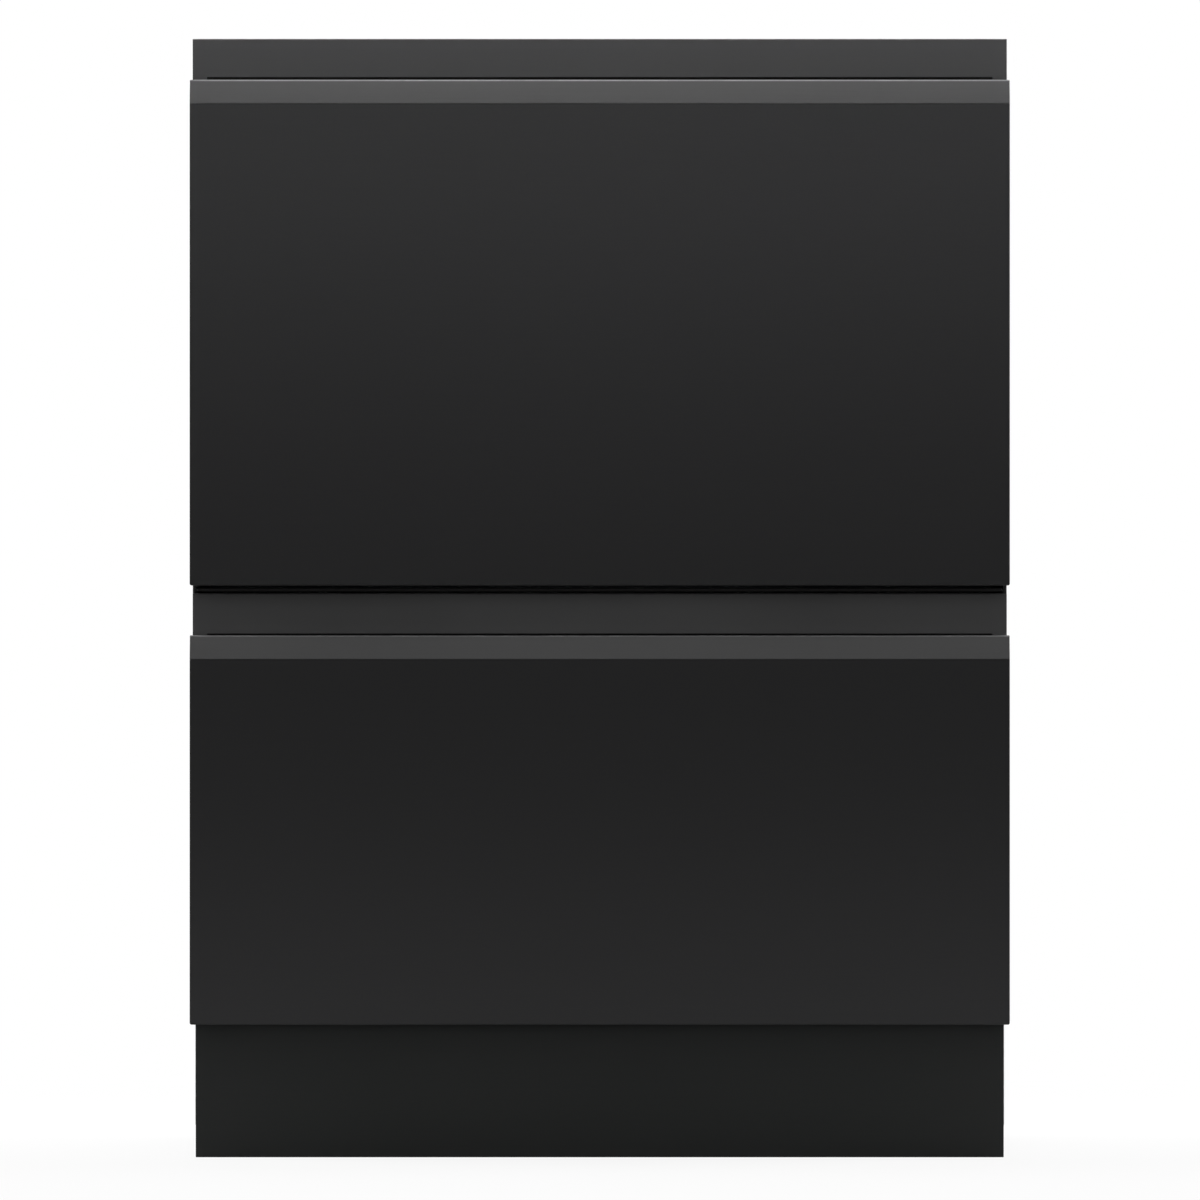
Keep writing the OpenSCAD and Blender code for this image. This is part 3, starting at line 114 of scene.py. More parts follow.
floor_paint = bpy.data.materials.new("studio_floor")
floor_paint.use_nodes = True
tree = floor_paint.node_tree
lit = tree.nodes["Principled BSDF"]
lit.inputs["Base Color"].default_value = (0.86, 0.86, 0.86, 1)
lit.inputs["Roughness"].default_value = 0.9
lit.inputs["Specular IOR Level"].default_value = 0.1
white = tree.nodes.new("ShaderNodeEmission")
white.inputs["Color"].default_value = (1, 1, 1, 1)
path = tree.nodes.new("ShaderNodeLightPath")
place = tree.nodes.new("ShaderNodeTexCoord")
reach = tree.nodes.new("ShaderNodeVectorMath")
reach.operation = "LENGTH"
fade = tree.nodes.new("ShaderNodeMapRange")
for name, value in (("From Min", 0.5), ("From Max", 1.7), ("To Min", 0.9), ("To Max", 1.0)):
    fade.inputs[name].default_value = value
share = tree.nodes.new("ShaderNodeMath")
share.operation = "MULTIPLY"
mix = tree.nodes.new("ShaderNodeMixShader")
tree.links.new(place.outputs["Object"], reach.inputs[0])
tree.links.new(reach.outputs["Value"], fade.inputs["Value"])
tree.links.new(fade.outputs["Result"], share.inputs[1])
tree.links.new(path.outputs["Is Camera Ray"], share.inputs[0])
tree.links.new(share.outputs[0], mix.inputs["Fac"])
tree.links.new(lit.outputs["BSDF"], mix.inputs[1])
tree.links.new(white.outputs["Emission"], mix.inputs[2])
tree.links.new(mix.outputs["Shader"], tree.nodes["Material Output"].inputs["Surface"])
floor.data.materials.append(floor_paint)
print("floor", tuple(round(s, 1) for s in floor.dimensions))

# %% [markdown]
# The background is white for the camera, and for what metal and glass reflect. As a light the
# world is softer, so that the lamps shape the object.

# %% World
world = bpy.data.worlds.new("studio")
bpy.context.scene.world = world
world.use_nodes = True
tree = world.node_tree
tree.nodes.clear()
soft = tree.nodes.new("ShaderNodeBackground")
soft.inputs["Strength"].default_value = 0.15
pure = tree.nodes.new("ShaderNodeBackground")
pure.inputs["Strength"].default_value = 1.0
for background in (soft, pure):
    background.inputs["Color"].default_value = (1, 1, 1, 1)
path = tree.nodes.new("ShaderNodeLightPath")
seen = path.outputs["Is Camera Ray"]
for kind in ("Is Glossy Ray", "Is Transmission Ray"):
    either = tree.nodes.new("ShaderNodeMath")
    either.operation = "MAXIMUM"
    tree.links.new(seen, either.inputs[0])
    tree.links.new(path.outputs[kind], either.inputs[1])
    seen = either.outputs[0]
mix = tree.nodes.new("ShaderNodeMixShader")
output = tree.nodes.new("ShaderNodeOutputWorld")
tree.links.new(seen, mix.inputs["Fac"])
tree.links.new(soft.outputs[0], mix.inputs[1])
tree.links.new(pure.outputs[0], mix.inputs[2])
tree.links.new(mix.outputs[0], output.inputs["Surface"])
print("world:", world.name)

# %% [markdown]
# In the photograph the fronts are brightest at the top, darkest halfway and a little brighter
# again near the floor, so one long lamp throws a narrow beam at their top, a second one a low beam
# at their foot, and a third, far away, evens out what lies between. Steel mirrors the white
# surroundings already, so only the lamp overhead shows in reflections, where it draws the sheen,
# and the others would wash the steel out.

# %% Lamps
def soft_lamp(name, place, target, size, power, spread=120, mirrored=False):
    """A rectangular lamp at place that faces target and throws its light within spread degrees."""
    data = bpy.data.lights.new(name, "AREA")
    data.shape = "RECTANGLE"
    data.size, data.size_y = size
    data.energy = power
    data.spread = math.radians(spread)
    lamp = bpy.data.objects.new(name, data)
    lamp.location = place
    lamp.rotation_euler = (Vector(target) - Vector(place)).to_track_quat("-Z", "Y").to_euler()
    lamp.visible_camera = False
    lamp.visible_glossy = mirrored
    bpy.context.scene.collection.objects.link(lamp)


soft_lamp("lamp_front_top", (0, -1.6, 1.8), (0, -0.29, 0.88), size=(1.7, 0.3), power=2.4, spread=25)
soft_lamp("lamp_front_low", (0, -1.3, 0.12), (0, -0.29, -0.02), size=(1.7, 0.2), power=0.85, spread=40)
soft_lamp("lamp_front_far", (0, -4.0, 0.6), (0, -0.29, 0.45), size=(2.4, 0.8), power=1.6, spread=60)
soft_lamp("lamp_left", (-2.2, 0.4, 1.4), (0, 0, 0.45), size=(1.4, 1.4), power=17)
soft_lamp("lamp_right", (2.2, 0.6, 1.4), (0, 0, 0.45), size=(1.4, 1.4), power=15)
soft_lamp("lamp_rear", (0, 2.4, 1.6), (0, 0.2, 0.45), size=(1.6, 1.2), power=17)
soft_lamp("lamp_over", (0, 0.4, 2.4), (0, 0.1, 0.8), size=(1.4, 1.2), power=3.0, spread=80, mirrored=True)

# %% [markdown]
# Real finishes are never one flat value. Each finish below starts from the same Principled shader
# and gets its own small pattern on Object coordinates, so it has a real scale in metres: a grain
# for moulded plastic, fine lines for brushed metal, flakes for zinc. A bevel node rounds the
# pressed and moulded edges by a fraction of a millimetre, so that they catch the light.

# %% The finish helpers
EVEN = (1, 1, 1)


def new_finish(name, colour, roughness, metal=0.0, specular=0.5):
    """A material with its Principled shader, which is returned with it."""
    material = bpy.data.materials.new(name)
    material.use_nodes = True
    shader = material.node_tree.nodes["Principled BSDF"]
    shader.inputs["Base Color"].default_value = (*colour, 1)
    shader.inputs["Roughness"].default_value = roughness
    shader.inputs["Metallic"].default_value = metal
    shader.inputs["Specular IOR Level"].default_value = specular
    return material, shader


def pattern_place(material, stretch=EVEN):
    """Object coordinates stretched by three numbers, as the vector for a pattern."""
    nodes, links = material.node_tree.nodes, material.node_tree.links
    place = nodes.new("ShaderNodeTexCoord")
    mapping = nodes.new("ShaderNodeMapping")
    mapping.inputs["Scale"].default_value = stretch
    links.new(place.outputs["Object"], mapping.inputs["Vector"])
    return mapping.outputs["Vector"]


def noise(material, vector, scale, detail=3.0, rough=0.5):
    """A noise pattern of that scale."""
    node = material.node_tree.nodes.new("ShaderNodeTexNoise")
    node.inputs["Scale"].default_value = scale
    node.inputs["Detail"].default_value = detail
    node.inputs["Roughness"].default_value = rough
    material.node_tree.links.new(vector, node.inputs["Vector"])
    return node.outputs["Fac"]


def spread(material, value, low, high, from_low=0.3, from_high=0.7):
    """The pattern's value spread between low and high."""
    node = material.node_tree.nodes.new("ShaderNodeMapRange")
    node.inputs["From Min"].default_value = from_low
    node.inputs["From Max"].default_value = from_high
    node.inputs["To Min"].default_value = low
    node.inputs["To Max"].default_value = high
    material.node_tree.links.new(value, node.inputs["Value"])
    return node.outputs["Result"]


def share_plus(material, value, share, rest):
    """A share of one pattern's value, plus another value."""
    node = material.node_tree.nodes.new("ShaderNodeMath")
    node.operation = "MULTIPLY_ADD"
    node.inputs[1].default_value = share
    material.node_tree.links.new(value, node.inputs[0])
    material.node_tree.links.new(rest, node.inputs[2])
    return node.outputs[0]


def tint(material, shader, value, colour, share):
    """The base colour runs from a share darker to a share lighter with the pattern's value."""
    node = material.node_tree.nodes.new("ShaderNodeMix")
    node.data_type = "RGBA"
    node.inputs["A"].default_value = (*(c * (1 - share) for c in colour), 1)
    node.inputs["B"].default_value = (*(c * (1 + share) for c in colour), 1)
    material.node_tree.links.new(value, node.inputs["Factor"])
    material.node_tree.links.new(node.outputs["Result"], shader.inputs["Base Color"])


def relief(material, shader, value, height, edge=0.0):
    """The pattern as a relief of that height, over edges rounded by edge."""
    nodes, links = material.node_tree.nodes, material.node_tree.links
    bump = nodes.new("ShaderNodeBump")
    bump.inputs["Strength"].default_value = 1.0
    bump.inputs["Distance"].default_value = height
    links.new(value, bump.inputs["Height"])
    if edge:
        rounded = nodes.new("ShaderNodeBevel")
        rounded.samples = 4
        rounded.inputs["Radius"].default_value = edge
        links.new(rounded.outputs["Normal"], bump.inputs["Normal"])
    links.new(bump.outputs["Normal"], shader.inputs["Normal"])


print("finish helpers ready")

# %% [markdown]
# The fronts are sheet steel in a satin black. The photograph shows them calm and even, a little
# brighter at the top, with faint lines on the strip and the lip, which are brushed along their
# length. A brushed surface is a noise stretched two hundred times longer one way than the other,
# so that each line is about 60 mm long and a third of a millimetre wide. The two edge finishes
# are much lighter: a painted highlight on the rounds of the folded edges that face up and forward.

# %% Black fronts
BRUSHED = (7, 1400, 1400)


def brushed_black(name, colour, roughness, specular, share=0.08, height=0.000004, line=2.0):
    """Dark metal with lines along X, which vary by a share in colour and stand up by a height."""
    material, shader = new_finish(name, colour, roughness, specular=specular)
    lines = noise(material, pattern_place(material, BRUSHED), line, rough=0.6)
    clouds = noise(material, pattern_place(material), 7.0)
    tint(material, shader, spread(material, lines, 0, 1), colour, share)
    cloudy = spread(material, clouds, roughness - 0.08, roughness)
    rough = share_plus(material, lines, 0.10, cloudy)
    material.node_tree.links.new(rough, shader.inputs["Roughness"])
    relief(material, shader, lines, height, 0.0004)
    return material


front_finish = brushed_black(
    "satin_black_front", (0.0290, 0.0290, 0.0296), 0.45, 0.05, share=0.03, height=0.000002)
lip_finish = brushed_black("brushed_black_lip", (0.033, 0.033, 0.0335), 0.40, 0.55, height=0.000006)
strip_finish = brushed_black("brushed_black_strip", (0.0165, 0.0165, 0.017), 0.42, 0.50, height=0.000006)
# The two edge finishes are far lighter than the lip and the strip: painted highlight on the rounds that face
# the light.
lip_edge_highlight_finish = brushed_black("painted_highlight_lip_edge", (0.19, 0.19, 0.193), 0.35, 0.40)
strip_edge_highlight_finish = brushed_black("painted_highlight_strip_edge", (0.080, 0.080, 0.081), 0.38, 0.40)
kick_finish = brushed_black("satin_black_kick", (0.0170, 0.0180, 0.0175), 0.52, 0.10, share=0.04, line=1.5)
print("black finishes:", [m.name for m in (front_finish, lip_finish, strip_finish, kick_finish)])

# %% [markdown]
# The shell is zinc-coated sheet. Zinc freezes in flakes of slightly different brightness, so a
# cell pattern drives both the colour and the roughness, and a wider noise adds the handling marks.

# %% Zinc-coated steel
FLAKES_PER_METRE = 85


def zinc(name, colour, roughness):
    """Zinc flakes about 12 mm across, with handling marks over them."""
    material, shader = new_finish(name, colour, roughness, metal=0.85)
    nodes, link = material.node_tree.nodes, material.node_tree.links.new
    place = pattern_place(material)
    flakes = nodes.new("ShaderNodeTexVoronoi")
    flakes.inputs["Scale"].default_value = FLAKES_PER_METRE
    link(place, flakes.inputs["Vector"])
    grey = nodes.new("ShaderNodeSeparateColor")
    link(flakes.outputs["Color"], grey.inputs["Color"])
    marks = noise(material, place, 6.0, detail=5.0, rough=0.6)
    shade = share_plus(material, grey.outputs["Red"], 0.45, spread(material, marks, 0.0, 0.55))
    tint(material, shader, shade, colour, 0.10)
    sheen = spread(material, grey.outputs["Green"], roughness - 0.05, roughness + 0.07, 0, 1)
    link(sheen, shader.inputs["Roughness"])
    relief(material, shader, marks, 0.00006, 0.0005)
    return material


steel_finish = zinc("zinc_coated_steel", (0.50, 0.51, 0.52), 0.42)
runner_finish = zinc("runner_steel", (0.44, 0.45, 0.46), 0.34)
print("steel finishes:", steel_finish.name, runner_finish.name)

# %% [markdown]
# The mouldings have a fine spark-eroded grain. It is a few tenths of a millimetre wide and only
# microns deep, so it shows as a soft broken highlight rather than as bumps.

# %% Moulded plastics and rubber
def moulded(name, colour, roughness, specular=0.4, grain=1500, height=0.00003, edge=0.0006, share=0.04):
    """Moulded plastic with a fine grain and slight clouds in its colour."""
    material, shader = new_finish(name, colour, roughness, specular=specular)
    place = pattern_place(material)
    fine = noise(material, place, grain, detail=2.0)
    clouds = noise(material, place, 9.0, detail=4.0)
    tint(material, shader, spread(material, clouds, 0, 1), colour, share)
    cloudy = spread(material, clouds, roughness - 0.015, roughness + 0.02)
    material.node_tree.links.new(cloudy, shader.inputs["Roughness"])
    relief(material, shader, fine, height, edge)
    return material


tub_finish = moulded("tub_moulding", (0.56, 0.58, 0.595), 0.32, specular=0.45,
                     grain=900, height=0.000015, edge=0.0012, share=0.012)
white_finish = moulded("white_moulding", (0.74, 0.755, 0.765), 0.38, specular=0.45,
                       grain=1200, height=0.00002, edge=0.0008, share=0.02)
grey_finish = moulded("dark_grey_moulding", (0.135, 0.145, 0.155), 0.46)
black_finish = moulded("black_moulding", (0.0115, 0.0115, 0.0125), 0.40, specular=0.45)
rubber_finish = moulded("seal_rubber", (0.016, 0.016, 0.016), 0.62, specular=0.3, grain=2200, height=0.00004)
# A near-black, matt sheet: painted shade in the finger pockets.
shade_sheet_finish = moulded("painted_shade_sheet", (0.004, 0.004, 0.004), 0.85, specular=0.05, grain=900, height=0.00002)
wire_finish = moulded("nylon_coated_wire", (0.245, 0.265, 0.28), 0.34, specular=0.5,
                      grain=700, height=0.00002, edge=0.0)
print("moulded finishes:", [m.name for m in (tub_finish, white_finish, grey_finish, black_finish)])

# %% [markdown]
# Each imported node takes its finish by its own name. The names of the two drawers differ only in
# their first word, so a short table covers both.

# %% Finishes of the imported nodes
FINISHES = (
    (front_finish, "front_panel"),
    (lip_finish, "grip_lip"),
    (strip_finish, "recess_strip"),
    (kick_finish, "kickboard"),
    (steel_finish, "side_panel rear_panel base_pan top_panel mid_panel"),
    (runner_finish, "cabinet_rails mid_rails drawer_rails"),
    (tub_finish, "tub"),
    (white_finish, "water_valve spray_arm lid"),
    (grey_finish, "lid_lifts waste_outlet front_carrier filter_plate cutlery_basket dispenser"),
    (grey_finish, "dispenser_door power_button program_button start_button"),
    (black_finish, "power_inlet control_panel wash_motor"),
    (wire_finish, "rack cup_rack_left cup_rack_right fold_tines"),
    (rubber_finish, "lid_seal"),
)
finish_of = {name: finish for finish, names in FINISHES for name in names.split()}


def finish_for(node):
    """The finish of a node: feet are black mouldings, and side and drawer words are left off."""
    if node.startswith("foot_"):
        return black_finish
    for word in ("upper_", "lower_", "left_", "right_"):
        node = node.removeprefix(word)
    return finish_of[node]


for node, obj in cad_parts.items():
    obj.data.materials.clear()
    obj.data.materials.append(finish_for(node))
print("finishes set on", len(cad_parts), "nodes")

# %% [markdown]
# New pieces are modelled as by hand: a block or rod is added at its size, then shaped in edit mode.
# Everything is deselected first, because an operator acts on all that is selected.

# %% Helpers that add a piece
def clear_selection():
    """Object mode with nothing selected."""
    if bpy.context.object and bpy.context.object.mode != "OBJECT":
        bpy.ops.object.mode_set(mode="OBJECT")
    bpy.ops.object.select_all(action="DESELECT")


def pick(obj):
    """Selects one object alone and makes it the active one."""
    clear_selection()
    bpy.context.view_layer.objects.active = obj
    obj.select_set(True)


def settle(name):
    """Names the new object and puts its place into its mesh."""
    obj = bpy.context.object
    obj.name = obj.data.name = name
    bpy.ops.object.transform_apply(location=True, rotation=True, scale=True)
    return obj


def add_block(name, low, high):
    """A block between two corners."""
    clear_selection()
    middle = [(a + b) / 2 for a, b in zip(low, high)]
    bpy.ops.mesh.primitive_cube_add(size=1, location=middle, scale=[b - a for a, b in zip(low, high)])
    return settle(name)


def add_rod(name, place, radius, length, turn=(0, 0, 0), sides=32, tip=None):
    """A round rod centred on place, along Z before its turn; tip is its radius at the far end."""
    clear_selection()
    bpy.ops.mesh.primitive_cone_add(
        vertices=sides, radius1=radius, radius2=radius if tip is None else tip, depth=length,
        location=place, rotation=turn)
    return settle(name)


print("blocks and rods ready")

# %% [markdown]
# Faces and edges are found by where their middle lies and which way they point, so these helpers
# take a short test. A direction with more than 0.9 of its length along an axis counts as lying
# along it, and one with less than 0.5 as lying across it.

# %% Helpers that select and shape
KINDS = {"face": "FACE", "edge": "EDGE", "point": "VERT"}
ALONG, ACROSS = 0.9, 0.5


def edit(obj):
    """Edit mode on one object."""
    pick(obj)
    bpy.ops.object.mode_set(mode="EDIT")


def select_parts(kind, test):
    """Selects the faces, edges or points that pass test(middle, direction)."""
    bpy.ops.mesh.select_mode(type=KINDS[kind])
    bpy.ops.mesh.select_all(action="DESELECT")
    mesh = bmesh.from_edit_mesh(bpy.context.object.data)
    parts = {"face": mesh.faces, "edge": mesh.edges, "point": mesh.verts}[kind]
    found = 0
    for part in parts:
        if kind == "face":
            middle, way = part.calc_center_median(), part.normal
        elif kind == "edge":
            a, b = (v.co for v in part.verts)
            middle, way = (a + b) / 2, (b - a).normalized()
        else:
            middle, way = part.co, Vector((0, 0, 1))
        if test(middle, way):
            part.select_set(True)
            found += 1
    mesh.select_flush_mode()
    bmesh.update_edit_mesh(bpy.context.object.data)
    return found


def remove_faces(test):
    """Deletes the faces that pass the test."""
    select_parts("face", test)
    bpy.ops.mesh.delete(type="FACE")


def near(a, b):
    """Whether two lengths are the same within a twentieth of a millimetre."""
    return abs(a - b) < 0.00005


def round_edges(test, radius, segments=3):
    """Bevels the edges that pass the test."""
    if select_parts("edge", test):
        bpy.ops.mesh.bevel(offset=radius, segments=segments, affect="EDGES", clamp_overlap=True)


def soften(obj, radius, segments=3, test=lambda m, d: True):
    """Rounds all edges of a piece, or those that pass the test."""
    edit(obj)
    round_edges(test, radius, segments)
    bpy.ops.object.mode_set(mode="OBJECT")
    return obj


def crown(obj, radius, segments=3):
    """Rounds the edges at the top of a piece that stands along Z."""
    top = max(point.co.z for point in obj.data.vertices)
    return soften(obj, radius, segments, lambda m, d: near(m.z, top) and abs(d.z) < ACROSS)


def soft_block(name, low, high, radius, segments=3):
    """A block with all its edges rounded."""
    return soften(add_block(name, low, high), radius, segments)


print("selecting and rounding ready")

# %% [markdown]
# A modifier is applied at once, so that each mesh is final. The last steps are the same for every
# piece: it gets a finish, rides on the body that carries it, and hides the imported nodes that it
# stands for.

# %% Helpers that finish a piece
def modify(obj, kind, **values):
    """Adds a modifier and applies it at once."""
    pick(obj)
    modifier = obj.modifiers.new(kind.lower(), kind)
    for name, value in values.items():
        setattr(modifier, name, value)
    bpy.ops.object.modifier_apply(modifier=modifier.name)


def merge(name, objects):
    """Joins several objects into one mesh."""
    clear_selection()
    for obj in objects:
        obj.select_set(True)
    bpy.context.view_layer.objects.active = objects[0]
    if len(objects) > 1:
        bpy.ops.object.join()
    objects[0].name = objects[0].data.name = name
    return objects[0]


def finished(obj, body, finish, nodes=(), smooth=35):
    """Smooths the shallow edges, gives the finish and hands the piece to its body."""
    pick(obj)
    bpy.ops.object.shade_smooth_by_angle(angle=math.radians(smooth))
    obj.data.materials.clear()
    obj.data.materials.append(finish)
    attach(obj, body)
    if nodes:
        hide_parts(*nodes)
    print(f"{obj.name}: {len(obj.data.polygons)} faces on {body}")
    return obj


def paint_highlight(obj, finish, test):
    """Gives a second finish to the faces that pass test(middle, direction), here a painted highlight."""
    obj.data.materials.append(finish)
    highlit_faces = [face for face in obj.data.polygons if test(face.center, face.normal)]
    for face in highlit_faces:
        face.material_index = len(obj.data.materials) - 1
    print(f"{obj.name}: {len(highlit_faces)} faces in {finish.name}")


print("modifiers, merging and finishing ready")

# %% [markdown]
# Each drawer front is one folded sheet: a flat face with its sides and bottom turned back, and a
# ledge on top that carries the grip lip. A cube of the outer size loses its back, its edges get
# the small radius of a pressed fold, and Solidify gives the sheet its 1.2 mm. Two cheeks close the
# ends of the finger pocket. The outer faces stay exactly where the solid has them.

# %% Drawer fronts
DRAWERS = ("upper", "lower")
sheet = 0.0012
fold_radius, corner_radius = 0.0008, 0.0015
ledge_gap = 0.002
cheek_h, cheek_gap, cheek_radius = 0.035, 0.0003, 0.0004


def add_cheek(drawer, side):
    """The plate that closes one end of the finger pocket."""
    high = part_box(drawer + "_front_panel")[1]
    pocket_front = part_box(drawer + "_grip_lip")[1].y + cheek_gap
    edge = side * high.x
    x = sorted((edge, edge - side * sheet))
    cheek = add_block("cheek", (x[0], pocket_front, high.z - cheek_h), (x[1], high.y, high.z))
    return soften(cheek, cheek_radius, 2, lambda m, d: near(m.z, high.z) and abs(d.x) < ACROSS)


def folded_front(drawer):
    """The folded sheet of one drawer front, with its cheeks."""
    low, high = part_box(drawer + "_front_panel")
    lip_low, lip_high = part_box(drawer + "_grip_lip")
    ledge_back = lip_high.y - ledge_gap
    obj = add_block(drawer + "_front_sheet", low, (high.x, high.y, lip_low.z))
    edit(obj)
    remove_faces(lambda m, n: n.y > ALONG)
    select_parts("face", lambda m, n: n.z > ALONG)
    bpy.ops.mesh.bisect(plane_co=(0, ledge_back, 0), plane_no=(0, 1, 0))
    remove_faces(lambda m, n: n.z > ALONG and m.y > ledge_back)
    round_edges(lambda m, d: near(m.z, low.z) and near(abs(m.x), high.x) and abs(d.y) > ALONG,
                corner_radius, 4)
    round_edges(lambda m, d: near(m.y, low.y) and not near(m.z, lip_low.z) and abs(d.y) < ACROSS,
                fold_radius)
    modify(obj, "SOLIDIFY", thickness=sheet, offset=-1, use_even_offset=True)
    return merge(drawer + "_front_sheet", [obj, add_cheek(drawer, -1), add_cheek(drawer, 1)])


for drawer in DRAWERS:
    finished(folded_front(drawer), drawer + "_drawer", front_finish, [drawer + "_front_panel"])

# %% [markdown]
# The grip lip is an extrusion with a bevelled face that leans back 7.5 mm and a rounded top edge.
# That edge is the brightest line in the photograph, so its radius matters more than anything else
# on the front. The cube's front top edge is slid back, and the two top edges are bevelled until
# they meet in a round. The faces of the round that look up and forward get a much lighter finish,
# a painted highlight.

# %% Grip lips
lip_lean = 0.0075
lip_top_radius, lip_foot_radius, lip_end_radius = 0.0011, 0.0005, 0.0003


def bevelled_lip(drawer):
    """The lip of one drawer as a closed extrusion."""
    low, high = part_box(drawer + "_grip_lip")
    obj = add_block(drawer + "_lip_extrusion", low, high)
    edit(obj)
    select_parts("point", lambda m, d: near(m.y, low.y) and near(m.z, high.z))
    bpy.ops.transform.translate(value=(0, lip_lean, 0))
    round_edges(lambda m, d: near(m.z, high.z) and abs(d.x) > ALONG, lip_top_radius, 5)
    round_edges(lambda m, d: near(m.z, low.z) and near(m.y, low.y) and abs(d.x) > ALONG, lip_foot_radius, 2)
    round_edges(lambda m, d: near(abs(m.x), high.x) and abs(d.x) < ACROSS, lip_end_radius, 2)
    return obj


for drawer in DRAWERS:
    lip = bevelled_lip(drawer)
    finished(lip, drawer + "_drawer", lip_finish, [drawer + "_grip_lip"], smooth=50)
    # Painted highlight: the round's faces that look up and forward take the lighter finish.
    paint_highlight(lip, lip_edge_highlight_finish, lambda m, n: n.z > 0.5 and n.y < -0.15)

# %% [markdown]
# Behind the lip a second folded sheet makes the finger pocket: a front wall under the lip, a round
# bottom and a back wall that rises to the top of the drawer, where it turns over the control
# panel. The inside of the pocket is a cube without its top and ends, with the two lower edges
# rounded to 7 mm, and Solidify thickens it outwards. The hem's faces that look up and forward are
# found as the lip's and get a lighter finish, a painted highlight.

# %% Recess strips
strip_t = 0.0015
cove_radius = 0.007
lip_lap = 0.0014
hem, hem_radius = 0.004, 0.0009


def pocket_strip(drawer):
    """The folded strip of one drawer."""
    low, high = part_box(drawer + "_recess_strip")
    lip_low, lip_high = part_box(drawer + "_grip_lip")
    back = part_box(drawer + "_front_panel")[1].y
    wall_top = lip_low.z - lip_lap
    obj = add_block(drawer + "_pocket_sheet", (low.x, lip_high.y, low.z + strip_t), (high.x, back, high.z))
    edit(obj)
    bpy.ops.mesh.select_all(action="SELECT")
    bpy.ops.mesh.flip_normals()
    remove_faces(lambda m, n: abs(n.z) > ALONG and near(m.z, high.z))
    remove_faces(lambda m, n: abs(n.x) > ALONG)
    select_parts("face", lambda m, n: abs(n.y) > ALONG and near(m.y, lip_high.y))
    bpy.ops.mesh.bisect(plane_co=(0, 0, wall_top), plane_no=(0, 0, 1))
    remove_faces(lambda m, n: near(m.y, lip_high.y) and m.z > wall_top)
    round_edges(lambda m, d: near(m.z, low.z + strip_t) and abs(d.x) > ALONG, cove_radius, 8)
    select_parts("edge", lambda m, d: near(m.z, high.z) and abs(d.x) > ALONG)
    bpy.ops.mesh.extrude_region_move(TRANSFORM_OT_translate={"value": (0, hem, 0)})
    round_edges(lambda m, d: near(m.z, high.z) and near(m.y, back) and abs(d.x) > ALONG, hem_radius, 4)
    modify(obj, "SOLIDIFY", thickness=strip_t, offset=-1, use_even_offset=True)
    return obj


for drawer in DRAWERS:
    strip = pocket_strip(drawer)
    finished(strip, drawer + "_drawer", strip_finish, [drawer + "_recess_strip"])
    # Painted highlight: the hem's faces that look up and forward take the lighter finish.
    hem_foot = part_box(drawer + "_recess_strip")[1].z - 0.0012
    paint_highlight(strip, strip_edge_highlight_finish, lambda m, n: m.z > hem_foot and n.z > 0.2 and n.y < -0.1)

# %% [markdown]
# A near-black, matt sheet lies on the pocket's back wall, where the fingertips pull. It is painted
# shade: its top edge draws the dark line of shade above the lip.

# %% Painted shade in the pockets
shade_sheet_rise = {"upper": 0.0027, "lower": 0.0013}
shade_sheet_inset, shade_sheet_foot, shade_sheet_t, shade_sheet_radius = 0.012, 0.002, 0.0006, 0.00025

for drawer in DRAWERS:
    lip_low, lip_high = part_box(drawer + "_grip_lip")
    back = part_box(drawer + "_front_panel")[1].y
    pad = soft_block(drawer + "_pocket_shade", (lip_low.x + shade_sheet_inset, back - shade_sheet_t, lip_low.z + shade_sheet_foot),
                     (lip_high.x - shade_sheet_inset, back, lip_high.z + shade_sheet_rise[drawer]), shade_sheet_radius, 2)
    finished(pad, drawer + "_drawer", shade_sheet_finish)

# %% [markdown]
# The kickboard is the same kind of fold: a face with a flange turned back along its top and
# bottom. It stands 60 mm behind the fronts, so it stays in their shade and only its lower part
# catches light from the floor.

# %% Kickboard
low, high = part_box("kickboard")
kick = add_block("kick_sheet", low, high)
edit(kick)
remove_faces(lambda m, n: n.y > ALONG or abs(n.x) > ALONG)
round_edges(lambda m, d: near(m.y, low.y) and abs(d.x) > ALONG, 0.0009)
modify(kick, "SOLIDIFY", thickness=sheet, offset=-1, use_even_offset=True)
finished(kick, "cabinet", kick_finish, ["kickboard"])

# %% [markdown]
# Small parts repeat all over the machine, so each is modelled once and copied to its places. A
# ring starts as a rod whose two ends are inset, and the two inner faces are bridged through the
# middle. A thread is one small triangle that the Screw modifier winds along the axis, and its two
# open ends are filled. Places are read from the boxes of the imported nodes.

# %% Helpers for small parts
UP, TO_RIGHT, TO_LEFT, TO_REAR = (0, 0, 0), (0, math.pi / 2, 0), (0, -math.pi / 2, 0), (-math.pi / 2, 0, 0)
LOW, HIGH = 0, 1
X, Y, Z = 0, 1, 2


def side_of(node, side, axis):
    """Where a node begins or ends along one axis, to a hundredth of a millimetre."""
    return round(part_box(node)[side][axis], 5)


def middle_of(node, axis):
    """The middle of a node along one axis, to a tenth of a millimetre."""
    low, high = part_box(node)
    return round((low[axis] + high[axis]) / 2, 4)


def placed(obj, name, place, turn=UP):
    """A copy with its own mesh, turned from pointing up and put at its place."""
    twin = obj.copy()
    twin.data = obj.data.copy()
    bpy.context.scene.collection.objects.link(twin)
    twin.location, twin.rotation_euler = place, turn
    pick(twin)
    return settle(name)


def mirror_copy(obj, name):
    """A copy with its own mesh, mirrored across the middle of the cabinet."""
    twin = placed(obj, name, (0, 0, 0))
    for point in twin.data.vertices:
        point.co.x = -point.co.x
    edit(twin)
    bpy.ops.mesh.select_all(action="SELECT")
    bpy.ops.mesh.normals_make_consistent(inside=False)
    bpy.ops.object.mode_set(mode="OBJECT")
    return twin


def forget(*objects):
    """Removes the models that were only there to be copied."""
    clear_selection()
    for obj in objects:
        bpy.data.objects.remove(obj)


